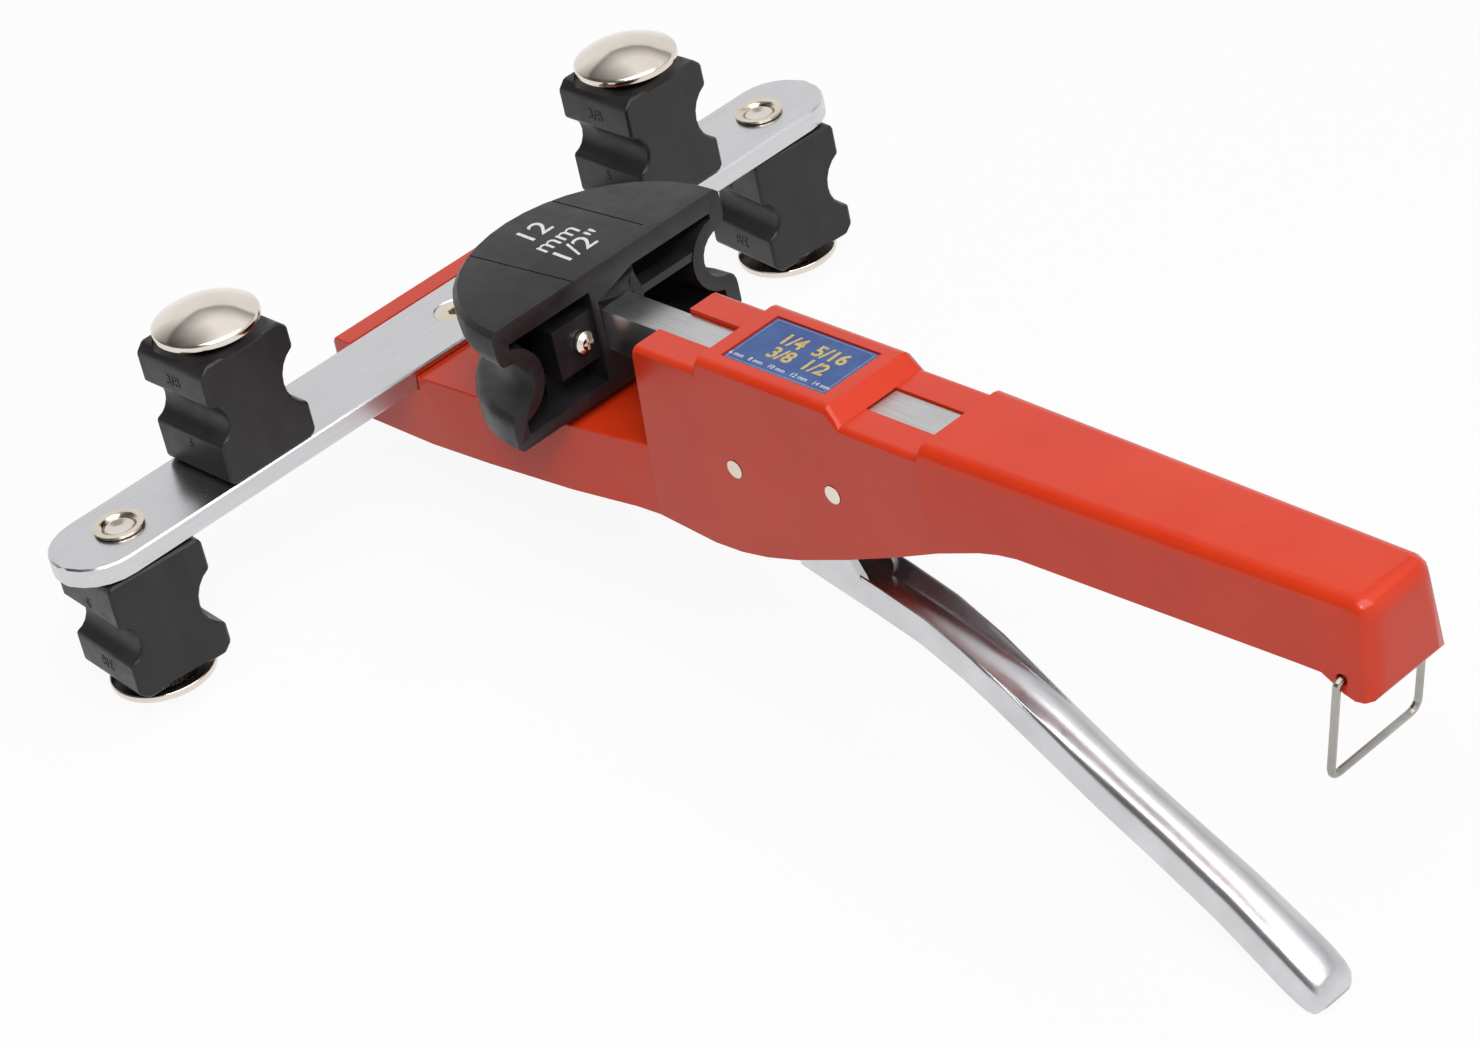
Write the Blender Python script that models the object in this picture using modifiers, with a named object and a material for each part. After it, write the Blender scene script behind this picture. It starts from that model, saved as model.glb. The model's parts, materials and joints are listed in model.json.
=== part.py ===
"""Manual pipe bender: a ratchet tube bender with a crossbar, four side blocks, a former and a lever.

The tool is modelled in its own level frame. X runs from the crossbar to the handle's end, Y runs along
the crossbar, Z is up, and the origin is the middle of the crossbar's top face. One empty then tilts the
whole tool to the way it stands on a bench: on its two lower dome heads and the tip of its open lever.
"""

import math

import bmesh
import bpy
from mathutils import Matrix, Vector

# Fits
SEAT_GAP = 0.0003
SLIDE_GAP = 0.0003
PIN_FIT = 0.0001
OVERRUN = 0.010
MERGE = 0.00001
LEAST_STATION_STEP = 0.0001
FILL_SCALE = 1000

# Crossbar
CROSSBAR_LENGTH = 0.270
CROSSBAR_WIDTH = 0.0266
CROSSBAR_THICKNESS = 0.0057
CROSSBAR_EDGE = 0.0008
OUTER_PIN_FROM_END = 0.020
INNER_PIN_FROM_OUTER = 0.0411
CENTRE_BOLT_RADIUS = 0.003
CENTRE_BOLT_HEAD_RADIUS = 0.0056
CENTRE_BOLT_HEAD_DEPTH = 0.0030
CENTRE_BOLT_SOCKET = 0.0020
CENTRE_NUT_RADIUS = 0.0058
CENTRE_NUT_HEIGHT = 0.005

# Side blocks and what holds them
BLOCK_WIDTH = 0.0272
BLOCK_LENGTH = 0.0286
BLOCK_HEIGHT = 0.0348
BLOCK_CHAMFER = 0.0024
BLOCK_FOOT_CHAMFER = 0.0013
BLOCK_EDGE = 0.0006
SMALL_GROOVE_OPENING = 0.0116
SMALL_GROOVE_DEPTH = 0.0045
LARGE_GROOVE_OPENING = 0.0168
LARGE_GROOVE_DEPTH = 0.0053
GROOVE_FROM_FREE_END = 0.0168
HEAD_RECESS_DEPTH = 0.0010
HEAD_RECESS_MARGIN = 0.0008
LOWER_BLOCK_TURN_DEGREES = 5.0
DOME_RADIUS = 0.014
DOME_RIM = 0.0018
DOME_RISE = 0.0042
HEAD_LIFT = 0.0030
COLLAR_RADIUS = 0.009
SHOULDER_RADIUS = 0.005
THREAD_RADIUS = 0.004
THREAD_RECESS = 0.0009
SLEEVE_RADIUS = 0.0055
SLEEVE_RIM_RADIUS = 0.00665
SLEEVE_RIM = 0.0007

# Ratchet bar
RACK_WIDTH = 0.010
RACK_HEIGHT = 0.012
RACK_TOP = 0.024
RACK_TRAVEL = 0.075
RACK_TAIL = 0.006
RACK_INSERTION = 0.022
TOOTH_PITCH = 0.0032
TOOTH_DEPTH = 0.0018
TOOTH_LAND = 0.0006
STOP_PIN_RADIUS = 0.002
STOP_PIN_LENGTH = 0.016
STOP_MARGIN = 0.001

# Former
FORMER_RIM_RADIUS = 0.0396
FORMER_HEIGHT = 0.0354
FORMER_LIFT = 0.0002
FORMER_TO_EAR = 0.0219
FORMER_SETBACK = 0.0002
FORMER_GROOVE_RADIUS = 0.0070
FORMER_LIP_REACH = 0.0023
FORMER_LIP_RISE = 0.0040
FORMER_EDGE = 0.0014
FORMER_WALL = 0.0045
FORMER_GROOVE_WALL = 0.0038
FORMER_ROOF = 0.0055
FORMER_FLOOR = 0.0035
FORMER_BOSS_WIDTH = 0.015
FORMER_SLOT_HEADROOM = 0.0020
FORMER_RIB = 0.0022
FORMER_RIB_DEPTH = 0.005
FORMER_RIB_SETBACK = 0.0003
FORMER_RIB_LOW = 0.0207
WEB_FAR_SIDE = 0.0092
WEB_SLOPE_RUN = 0.0058
WEB_SLOPE_LOW = 0.0229
PANEL_WIDTH = 0.013
PANEL_HEIGHT = 0.014
PANEL_THICKNESS = 0.010
PANEL_SETBACK = 0.0015
SCREW_HEAD_RADIUS = 0.0030
SCREW_HEAD_HEIGHT = 0.0020
SCREW_RADIUS = 0.0015
SCREW_LENGTH = 0.008
SCREW_RECESS = 0.0010
SCREW_CROSS = 0.0008

# Body casting
SLOT_FIT = 0.0003
NOSE_WALL = 0.0085
NOSE_HALF_WIDTH = 0.026
NOSE_ROUND = 0.0025
NOSE_DEPTH = 0.0225
NOSE_FLARE = 0.0006
DECK_LENGTH = 0.0785
DECK_DROP = 0.0018
DECK_REAR_DROP = 0.0028
FRONT_EAR_LENGTH = 0.0225
FRAME_LENGTH = 0.0494
REAR_EAR_LENGTH = 0.0258
HANDLE_LENGTH = 0.1317
BODY_HALF_WIDTH = 0.0154
BODY_FLARE = 0.0024
FRONT_EAR_HEIGHT = 0.0252
FRAME_HEIGHT = 0.0288
REAR_EAR_HEIGHT = 0.0246
HANDLE_HEIGHT = 0.0278
HANDLE_END_HALF_WIDTH = 0.0122
HANDLE_START_FLARE = 0.0009
HANDLE_FLARE = 0.0018
EAR_EDGE = 0.0022
FRAME_EDGE = 0.0030
HANDLE_EDGE = 0.0036
HANDLE_END_ROUND = 0.005
DECK_EDGE = 0.0004
STEP_RUN = 0.0008
FRAME_REAR_RUN = 0.0040
BELLY_DEPTH = 0.0248
WAIST_HEIGHT = 0.0068
UNDERSIDE_END_HEIGHT = 0.0076
LUG_LENGTH = 0.020
LUG_BOTTOM = 0.0026
WALL = 0.0035
FLOOR = 0.0042
END_WALL = 0.005
GUIDE_THICKNESS = 0.0037
FRONT_GUIDE_LENGTH = 0.0115
REAR_GUIDE_LENGTH = 0.0140
BOSS_RADIUS = 0.007
BOSS_HEIGHT = 0.004
BELLY_START_TO_EAR = 0.0071
BELLY_LOW_FROM_EAR = 0.0199
WAIST_FROM_HANDLE = 0.0292

# Badge
BADGE_LENGTH = 0.0357
BADGE_WIDTH = 0.020
BADGE_SETBACK = 0.0055
BADGE_RECESS = 0.0013
BADGE_THICKNESS = 0.0006

# Lever, pins, pawls and springs
PIVOT_FROM_FRAME = 0.0096
PIVOT_Z = 0.0005
REAR_PIN_FROM_PIVOT = 0.0346
REAR_PIN_Z = 0.0045
PIN_RADIUS = 0.0025
PIN_PROUD = 0.0001
LEVER_REACH = 0.1575
LEVER_DROP = 0.1088
LEVER_WIDTH = 0.0144
LEVER_THICKNESS = 0.0098
LEVER_SKIRT = 0.0050
LEVER_CHEEK = 0.0022
LEVER_HEAD_RADIUS = 0.0075
LEVER_HEEL_RADIUS = 0.007
LEVER_HEEL_REACH = 0.0070
LEVER_HEEL_DROP = 0.0253
LEVER_NECK_RADIUS = 0.0045
LEVER_NECK_REACH = 0.0225
LEVER_NECK_DROP = 0.0318
PAWL_ARM = 0.0073
PAWL_ARM_LEAN = 0.0015
PAWL_PIN_RADIUS = 0.0018
PAWL_EYE_RADIUS = 0.0030
PAWL_ARM_RADIUS = 0.0036
PAWL_WIDTH = 0.0042
PAWL_TIP_RADIUS = 0.0005
PAWL_CLEARANCE = 0.0004
DRIVE_PAWL_REACH = 0.0059
DRIVE_PAWL_TAIL_REACH = 0.0036
DRIVE_PAWL_TAIL_DROP = 0.0026
DRIVE_PAWL_TAIL_RADIUS = 0.0012
HOLDING_PAWL_REACH = 0.0077
HOLDING_PAWL_HUB_RADIUS = 0.0045
HOLDING_PAWL_STEP = 0.0006
HOLDING_PAWL_NOSE_WIDTH = 0.007
SPACER_RADIUS = 0.0045
LEVER_SPRING_WIRE = 0.0005
LEVER_SPRING_PITCH = 0.0016
LEVER_SPRING_TURNS = 4
DRIVE_SPRING_WIRE = 0.0003
DRIVE_SPRING_PITCH = 0.0011
DRIVE_SPRING_TURNS = 2
HOLDING_SPRING_WIRE = 0.0004
HOLDING_SPRING_PITCH = 0.0013
HOLDING_SPRING_TURNS = 3

# Hanging hook
HOOK_WIRE_RADIUS = 0.0010
HOOK_HOLE_RADIUS = 0.0015
HOOK_DROP = 0.029
HOOK_BEND = 0.003
HOOK_EYE_BEND = 0.0012
HOOK_TAIL = 0.005
HOOK_SIDE_GAP = 0.0005
HOOK_FROM_END = 0.0083
HOOK_HEIGHT = 0.0072

# Outlines as shares of the sizes that they follow, chosen by hand
BELLY_RISE_SHARES = (
    (0.00, 0.000), (0.087, 0.010), (0.173, 0.057), (0.275, 0.149), (0.448, 0.351),
    (0.617, 0.571), (0.754, 0.766), (0.885, 0.921), (0.944, 0.972), (1.00, 1.000),
)
LUG_SHARES = (
    (0.0, 0.0), (0.32, 0.02), (0.47, 0.40), (0.60, 0.76), (0.75, 0.97), (0.85, 1.0), (0.95, 0.9), (1.0, 0.6),
)
END_ROUND_SHARES = ((0.0, 0.0), (0.5, 0.13), (0.8, 0.40), (1.0, 1.0))
DECK_WIDTH_SHARES = ((0.0, 1.0), (0.27, 0.83), (0.64, 0.50), (1.0, 0.0))
LEVER_SHARES = (
    # reach, drop, half width, height of the crown, and how much of a channel it is
    (0.031, 0.301, 0.90, 0.90, 1.00),
    (0.119, 0.333, 0.90, 0.90, 1.00),
    (0.192, 0.358, 0.90, 0.90, 1.00),
    (0.279, 0.393, 0.89, 0.91, 0.94),
    (0.362, 0.447, 0.88, 0.94, 0.66),
    (0.421, 0.495, 0.87, 0.98, 0.30),
    (0.492, 0.559, 0.86, 1.02, 0.06),
    (0.614, 0.668, 0.85, 1.04, 0.00),
    (0.710, 0.742, 0.87, 1.04, 0.00),
    (0.830, 0.837, 0.93, 1.04, 0.00),
    (0.914, 0.916, 0.99, 1.04, 0.00),
    (0.954, 0.956, 1.00, 1.03, 0.00),
)
LEVER_TIP_SHARES = (
    (0.978, 0.979, 0.97, 0.97, 0.00), (0.990, 0.992, 0.90, 0.85, 0.00), (0.998, 1.001, 0.78, 0.66, 0.00),
    (1.000, 1.004, 0.66, 0.50, 0.00),
)
CHANNEL_SHARES = (
    # across, and height between the channel's floor and its crests
    (1.00, 0.84), (0.96, 0.97), (0.90, 1.00), (0.84, 0.90), (0.78, 0.50), (0.73, 0.12), (0.64, 0.00),
    (0.32, 0.00), (0.00, 0.00),
)
CHANNEL_FLOOR_SHARE = 0.27
SKIRT_SHARE = 0.60

# Places worked out from the sizes
SLOT_HALF = CROSSBAR_WIDTH / 2 + SLOT_FIT
NOSE_X = -SLOT_HALF - NOSE_WALL
EAR_X = SLOT_HALF + DECK_LENGTH
FRAME_X = EAR_X + FRONT_EAR_LENGTH
REAR_EAR_X = FRAME_X + FRAME_LENGTH
HANDLE_X = REAR_EAR_X + REAR_EAR_LENGTH
END_X = HANDLE_X + HANDLE_LENGTH
LUG_X = END_X - LUG_LENGTH
OUTER_PIN_Y = CROSSBAR_LENGTH / 2 - OUTER_PIN_FROM_END
INNER_PIN_Y = OUTER_PIN_Y - INNER_PIN_FROM_OUTER
FORMER_REAR = EAR_X - FORMER_TO_EAR
BELLY_START = EAR_X - BELLY_START_TO_EAR
BELLY_LOW = EAR_X + BELLY_LOW_FROM_EAR
WAIST_START = HANDLE_X + WAIST_FROM_HANDLE
PIVOT_X = FRAME_X + PIVOT_FROM_FRAME
REAR_PIN_X = PIVOT_X + REAR_PIN_FROM_PIVOT
RACK_BOTTOM = RACK_TOP - RACK_HEIGHT
RACK_MIDDLE = RACK_TOP - RACK_HEIGHT / 2
CHANNEL_HALF = RACK_WIDTH / 2 + SLIDE_GAP
CHANNEL_FLOOR = RACK_BOTTOM - SLIDE_GAP
CHANNEL_ROOF = RACK_TOP + SLIDE_GAP
GUIDE_BOTTOM = CHANNEL_FLOOR - GUIDE_THICKNESS
SLOT_FLOOR = -CROSSBAR_THICKNESS - SLOT_FIT
BLOCK_SHOULDER = SEAT_GAP + BLOCK_HEIGHT - HEAD_RECESS_DEPTH + SEAT_GAP
HEAD_BASE = BLOCK_SHOULDER + HEAD_LIFT
DOME_TOP = HEAD_BASE + DOME_RIM + DOME_RISE
DOME_SPHERE = (DOME_RADIUS**2 + DOME_RISE**2) / (2 * DOME_RISE)
PAWL_PIN_X = PIVOT_X + PAWL_ARM_LEAN
PAWL_PIN_Z = PIVOT_Z + PAWL_ARM
PAWL_TIP_Z = RACK_BOTTOM - PAWL_CLEARANCE - PAWL_TIP_RADIUS
LEVER_TIP_X = PIVOT_X + LEVER_REACH
LEVER_TIP_Z = PIVOT_Z - LEVER_DROP
HOOK_X = END_X - HOOK_FROM_END

ROUND = 24
FINE_ROUND = 40
LIP_STEPS = 4
GROOVE_STEPS = 10
CROWN_POWER = 2.4
SPARE_TEETH = 2
SOCKET_DEPTH_SHARE = 2 / 3
SCREW_FLAT_SHARE = 0.6
TO_XZ = Matrix.Rotation(math.pi / 2, 4, "X")
TO_YZ = Matrix(((0, 0, 1, 0), (1, 0, 0, 0), (0, 1, 0, 0), (0, 0, 0, 1)))


def clear_scene():
    for obj in list(bpy.data.objects):
        bpy.data.objects.remove(obj, do_unlink=True)


def new_collection(name):
    group = bpy.data.collections.new(name)
    bpy.context.scene.collection.children.link(group)
    return group


clear_scene()
PARTS = new_collection("pipe_bender")
HELPERS = new_collection("cutters_and_joined_shapes")


def material(name, colour, roughness, metallic):
    made = bpy.data.materials.new(name)
    made.use_nodes = True
    shader = made.node_tree.nodes["Principled BSDF"]
    shader.inputs["Base Color"].default_value = (*colour, 1)
    shader.inputs["Roughness"].default_value = roughness
    shader.inputs["Metallic"].default_value = metallic
    made.diffuse_color = (*colour, 1)
    return made


# Basic shapes


def place(name, bm, group):
    mesh = bpy.data.meshes.new(name)
    bm.to_mesh(mesh)
    bm.free()
    obj = bpy.data.objects.new(name, mesh)
    group.objects.link(obj)
    if group is HELPERS:
        obj.hide_render = True
        obj.display_type = "WIRE"
    return obj


def box(name, low, high, group=HELPERS):
    bm = bmesh.new()
    bmesh.ops.create_cube(bm, size=1)
    low, high = Vector(low), Vector(high)
    stretch = Matrix.Diagonal((*(high - low), 1))
    bmesh.ops.transform(bm, matrix=Matrix.Translation((low + high) / 2) @ stretch, verts=bm.verts)
    return place(name, bm, group)


def cylinder(name, start, end, radius, group=HELPERS, end_radius=None, sides=ROUND):
    start, end = Vector(start), Vector(end)
    axis = end - start
    turn = axis.to_track_quat("Z", "X").to_matrix().to_4x4()
    bm = bmesh.new()
    bmesh.ops.create_cone(
        bm, cap_ends=True, segments=sides, radius1=radius,
        radius2=radius if end_radius is None else end_radius, depth=axis.length,
    )
    bmesh.ops.transform(bm, matrix=Matrix.Translation((start + end) / 2) @ turn, verts=bm.verts)
    return place(name, bm, group)


def turned(name, profile, group=PARTS, steps=ROUND):
    """A profile of (radius, height) points, from the top of the axis down the outer side, turned about Z."""
    bm = bmesh.new()
    points = [bm.verts.new((radius, 0, height)) for radius, height in profile]
    for first, second in zip(points, points[1:]):
        bm.edges.new((first, second))
    obj = place(name, bm, group)
    screw = obj.modifiers.new("turn", "SCREW")
    screw.axis = "Z"
    screw.angle = 2 * math.pi
    screw.steps = screw.render_steps = steps
    screw.use_merge_vertices = True
    screw.merge_threshold = MERGE
    return obj


def solid_of(obj, turn):
    """The enlarged curve made a welded mesh object at its true size, turned by a matrix."""
    bpy.context.view_layer.update()
    evaluated = obj.evaluated_get(bpy.context.evaluated_depsgraph_get())
    mesh = bpy.data.meshes.new_from_object(evaluated)
    name, group = obj.name, obj.users_collection[0]
    bpy.data.objects.remove(obj, do_unlink=True)
    bm = bmesh.new()
    bm.from_mesh(mesh)
    bpy.data.meshes.remove(mesh)
    bmesh.ops.transform(bm, matrix=turn @ Matrix.Scale(1 / FILL_SCALE, 4), verts=bm.verts)
    bmesh.ops.remove_doubles(bm, verts=bm.verts, dist=MERGE)
    bmesh.ops.recalc_face_normals(bm, faces=bm.faces)
    return place(name, bm, group)


def extruded(name, outline, thickness, turn, group=HELPERS):
    """A flat closed outline given half its thickness to each side, then turned into place.

    It is drawn enlarged, because the fill of a curve joins points that are very near each other.
    """
    curve = bpy.data.curves.new(name, "CURVE")
    curve.dimensions = "2D"
    curve.fill_mode = "BOTH"
    curve.extrude = thickness / 2 * FILL_SCALE
    spline = curve.splines.new("POLY")
    spline.points.add(len(outline) - 1)
    spline.use_cyclic_u = True
    for point, (across, up) in zip(spline.points, outline):
        point.co = (across * FILL_SCALE, up * FILL_SCALE, 0, 1)
    obj = bpy.data.objects.new(name, curve)
    group.objects.link(obj)
    return solid_of(obj, turn)


def wire(name, points, radius, group=PARTS):
    curve = bpy.data.curves.new(name, "CURVE")
    curve.dimensions = "3D"
    curve.bevel_depth = radius
    curve.bevel_resolution = 2
    curve.use_fill_caps = True
    spline = curve.splines.new("POLY")
    spline.points.add(len(points) - 1)
    for point, place_of in zip(spline.points, points):
        point.co = (*place_of, 1)
    obj = bpy.data.objects.new(name, curve)
    group.objects.link(obj)
    return obj


def loft(name, rings, group=PARTS):
    """A closed skin over rings of points that have the same number of points each."""
    bm = bmesh.new()
    loops = [[bm.verts.new(point) for point in ring] for ring in rings]
    for first, second in zip(loops, loops[1:]):
        for i in range(len(first)):
            j = (i + 1) % len(first)
            bm.faces.new((first[i], first[j], second[j], second[i]))
    bm.faces.new(reversed(loops[0]))
    bm.faces.new(loops[-1])
    bmesh.ops.recalc_face_normals(bm, faces=bm.faces)
    return place(name, bm, group)


def combine(obj, operation, others):
    for other in others:
        step = obj.modifiers.new(other.name, "BOOLEAN")
        step.operation = operation
        step.object = other
        step.solver = "EXACT"
    return obj


def cut(obj, *cutters):
    return combine(obj, "DIFFERENCE", cutters)


def join(obj, *others):
    return combine(obj, "UNION", others)


def soften(obj, width, segments=1):
    bevel = obj.modifiers.new("edges", "BEVEL")
    bevel.width = width
    bevel.segments = segments
    bevel.limit_method = "ANGLE"
    return obj


def carry(obj, pivot):
    """Hangs an object, and the shapes that cut it or join it, on the empty at its joint's axis."""
    obj.parent = pivot
    obj.matrix_parent_inverse = Matrix.Translation(-pivot.location)
    for step in obj.modifiers:
        if step.type == "BOOLEAN":
            carry(step.object, pivot)


def empty(name, place_of, parent=None):
    made = bpy.data.objects.new(name, None)
    made.location = place_of
    PARTS.objects.link(made)
    made.parent = parent
    return made


def dress(obj, look, smooth=True):
    obj.data.materials.clear()
    obj.data.materials.append(look)
    if smooth and obj.type == "MESH":
        obj.data.shade_smooth()
    return obj


# Outlines


def arc(centre, radius, start, end, steps):
    """Points on a circle, from one angle in degrees to another."""
    points = []
    for i in range(steps + 1):
        angle = math.radians(start + (end - start) * i / steps)
        points.append((centre[0] + radius * math.cos(angle), centre[1] + radius * math.sin(angle)))
    return points


def wrapped(circles, steps=20):
    """The outline of a band stretched round circles given as (x, y, radius)."""
    points = set()
    for x, y, radius in circles:
        points.update(arc((x, y), radius, 0, 360 * (steps - 1) / steps, steps - 1))
    points = sorted(points)

    def chain(run):
        hull = []
        for point in run:
            while len(hull) > 1:
                (ax, ay), (bx, by) = hull[-2], hull[-1]
                if (bx - ax) * (point[1] - ay) - (by - ay) * (point[0] - ax) > 0:
                    break
                hull.pop()
            hull.append(point)
        return hull[:-1]

    return chain(points) + chain(reversed(points))


def groove_arc(face, middle, opening, depth, inward, steps=8):
    """Points down a round groove cut into an upright face, from its top edge to its bottom edge."""
    radius = (opening**2 / 4 + depth**2) / (2 * depth)
    half = math.degrees(math.asin(opening / 2 / radius))
    centre = face - inward * (radius - depth)
    points = []
    for i in range(steps + 1):
        angle = math.radians(half - 2 * half * i / steps)
        points.append((centre + inward * radius * math.cos(angle), middle + radius * math.sin(angle)))
    return points


def value_at(table, x):
    """Reads a table of (x, value) pairs, straight between its rows."""
    if x <= table[0][0]:
        return table[0][1]
    for (x0, v0), (x1, v1) in zip(table, table[1:]):
        if x <= x1:
            return v1 if x1 == x0 else v0 + (v1 - v0) * (x - x0) / (x1 - x0)
    return table[-1][1]


# Crossbar and its centre bolt


def make_crossbar(look):
    half = CROSSBAR_WIDTH / 2
    straight = CROSSBAR_LENGTH / 2 - half
    outline = arc((0, straight), half, 0, 180, ROUND // 2) + arc((0, -straight), half, 180, 360, ROUND // 2)
    turn = Matrix.Translation((0, 0, -CROSSBAR_THICKNESS / 2))
    bar = extruded("crossbar", outline, CROSSBAR_THICKNESS, turn, PARTS)
    soften(bar, CROSSBAR_EDGE)
    for y in (-OUTER_PIN_Y, -INNER_PIN_Y, INNER_PIN_Y, OUTER_PIN_Y):
        cut(bar, through_bar("nut_hole", y, SLEEVE_RADIUS + SEAT_GAP))
    cut(bar, through_bar("centre_hole", 0, CENTRE_BOLT_RADIUS + SEAT_GAP))
    cut(bar, centre_cone("countersink", SEAT_GAP, OVERRUN))
    return dress(bar, look, smooth=False)


def through_bar(name, y, radius):
    return cylinder(name, (0, y, -CROSSBAR_THICKNESS - OVERRUN), (0, y, OVERRUN), radius)


def centre_cone(name, gap, above):
    """The countersunk head's cone, or the hole for it, which a gap makes larger."""
    slope = (CENTRE_BOLT_HEAD_RADIUS - CENTRE_BOLT_RADIUS) / CENTRE_BOLT_HEAD_DEPTH
    top = CENTRE_BOLT_HEAD_RADIUS + gap + slope * above
    bottom = CENTRE_BOLT_RADIUS + gap
    return cylinder(name, (0, 0, -CENTRE_BOLT_HEAD_DEPTH), (0, 0, above), bottom, end_radius=top)


def make_centre_bolt(look):
    nut_bottom = SLOT_FLOOR - FLOOR - BOSS_HEIGHT - SEAT_GAP - CENTRE_NUT_HEIGHT
    shank = CENTRE_BOLT_RADIUS
    head = CENTRE_BOLT_HEAD_RADIUS
    profile = [
        (0, -SEAT_GAP), (head, -SEAT_GAP), (shank, -CENTRE_BOLT_HEAD_DEPTH), (shank, nut_bottom),
        (0, nut_bottom),
    ]
    bolt = turned("crossbar_bolt", profile)
    socket_end = (0, 0, -CENTRE_BOLT_HEAD_DEPTH * SOCKET_DEPTH_SHARE)
    socket = cylinder("bolt_socket", socket_end, (0, 0, OVERRUN), CENTRE_BOLT_SOCKET, sides=6)
    return dress(cut(bolt, socket), look)


def make_centre_nut(look):
    top = SLOT_FLOOR - FLOOR - BOSS_HEIGHT - SEAT_GAP
    bottom = top - CENTRE_NUT_HEIGHT
    nut = cylinder("crossbar_nut", (0, 0, bottom), (0, 0, top), CENTRE_NUT_RADIUS, PARTS, sides=6)
    bore_radius = CENTRE_BOLT_RADIUS + SEAT_GAP
    bore = cylinder("nut_bore", (0, 0, bottom - OVERRUN), (0, 0, top + OVERRUN), bore_radius)
    return dress(cut(nut, bore), look, smooth=False)


# Side blocks, dome bolts and sleeve nuts, each made upright on the bar's top at the origin


def block_outline():
    half = BLOCK_LENGTH / 2
    bottom = SEAT_GAP
    top = SEAT_GAP + BLOCK_HEIGHT
    middle = top - GROOVE_FROM_FREE_END
    small = groove_arc(-half, middle, SMALL_GROOVE_OPENING, SMALL_GROOVE_DEPTH, 1)
    large = groove_arc(half, middle, LARGE_GROOVE_OPENING, LARGE_GROOVE_DEPTH, -1)
    lip = BLOCK_CHAMFER
    foot = BLOCK_FOOT_CHAMFER
    left = [(-half + lip, top), (-half, top - lip)] + small + [(-half, bottom + foot), (-half + foot, bottom)]
    right = [(half - foot, bottom), (half, bottom + foot)] + large[::-1]
    return left + right + [(half, top - lip), (half - lip, top)]


def make_block(name, look):
    block = extruded(name, block_outline(), BLOCK_WIDTH, TO_YZ, PARTS)
    soften(block, BLOCK_EDGE)
    top = SEAT_GAP + BLOCK_HEIGHT
    bore = cylinder(name + "_bore", (0, 0, -OVERRUN), (0, 0, top + OVERRUN), SHOULDER_RADIUS + PIN_FIT)
    recess_radius = DOME_RADIUS + HEAD_RECESS_MARGIN
    floor, end = (0, 0, top - HEAD_RECESS_DEPTH), (0, 0, top + OVERRUN)
    recess = cylinder(name + "_recess", floor, end, recess_radius, sides=FINE_ROUND)
    return dress(cut(block, bore, recess), look, smooth=False)


def make_dome_bolt(name, look):
    edge = math.degrees(math.asin(DOME_RADIUS / DOME_SPHERE))
    cap = arc((0, DOME_TOP - DOME_SPHERE), DOME_SPHERE, 90, 90 - edge, 5)
    cap[0] = (0, DOME_TOP)
    end = -CROSSBAR_THICKNESS + THREAD_RECESS
    collar = [(DOME_RADIUS, HEAD_BASE), (COLLAR_RADIUS, HEAD_BASE), (COLLAR_RADIUS, BLOCK_SHOULDER)]
    shank = [(SHOULDER_RADIUS, BLOCK_SHOULDER), (SHOULDER_RADIUS, SEAT_GAP)]
    thread = [(THREAD_RADIUS, SEAT_GAP), (THREAD_RADIUS, end), (0, end)]
    return dress(turned(name, cap + collar + shank + thread), look)


def make_sleeve_nut(name, look):
    rim_out = -CROSSBAR_THICKNESS - SEAT_GAP - SLEEVE_RIM
    rim_in = -CROSSBAR_THICKNESS - SEAT_GAP
    top = -SEAT_GAP
    bore = THREAD_RADIUS + PIN_FIT
    profile = [
        (bore, top), (SLEEVE_RADIUS, top), (SLEEVE_RADIUS, rim_in), (SLEEVE_RIM_RADIUS, rim_in),
        (SLEEVE_RIM_RADIUS, rim_out), (bore, rim_out), (bore, top),
    ]
    return dress(turned(name, profile), look)


# Ratchet bar, its stop pin, the former and its screw


def rack_front():
    return FORMER_REAR - RACK_INSERTION


def stop_pin_x():
    return HANDLE_X + WALL + RACK_TRAVEL + STOP_MARGIN + STOP_PIN_RADIUS


def make_rack(look):
    front = rack_front()
    rear = stop_pin_x() + STOP_PIN_RADIUS + RACK_TAIL
    first = PAWL_PIN_X - DRIVE_PAWL_REACH - TOOTH_PITCH * SPARE_TEETH
    last = REAR_PIN_X + RACK_TRAVEL + TOOTH_PITCH
    outline = [(front, RACK_BOTTOM), (front, RACK_TOP), (rear, RACK_TOP), (rear, RACK_BOTTOM)]
    for i in range(round((last - first) / TOOTH_PITCH), 0, -1):
        crest = first + i * TOOTH_PITCH
        root = crest - TOOTH_PITCH
        outline += [(crest - TOOTH_LAND, RACK_BOTTOM), (root, RACK_BOTTOM + TOOTH_DEPTH), (root, RACK_BOTTOM)]
    bar = extruded("ratchet_bar", outline, RACK_WIDTH, TO_XZ, PARTS)
    x = stop_pin_x()
    near, far = (x, -OVERRUN, RACK_MIDDLE), (x, OVERRUN, RACK_MIDDLE)
    hole = cylinder("stop_hole", near, far, STOP_PIN_RADIUS + PIN_FIT)
    return dress(cut(bar, hole), look, smooth=False)


def make_stop_pin(look):
    x = stop_pin_x()
    half = STOP_PIN_LENGTH / 2
    near, far = (x, -half, RACK_MIDDLE), (x, half, RACK_MIDDLE)
    return dress(cylinder("ratchet_bar_stop_pin", near, far, STOP_PIN_RADIUS, PARTS), look)


def former_centre():
    return Vector((FORMER_REAR + FORMER_SETBACK, 0, RACK_MIDDLE + FORMER_LIFT))


def groove_centre():
    """How far from the former's axis the middle of its round groove is."""
    return FORMER_RIM_RADIUS - FORMER_LIP_REACH


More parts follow.
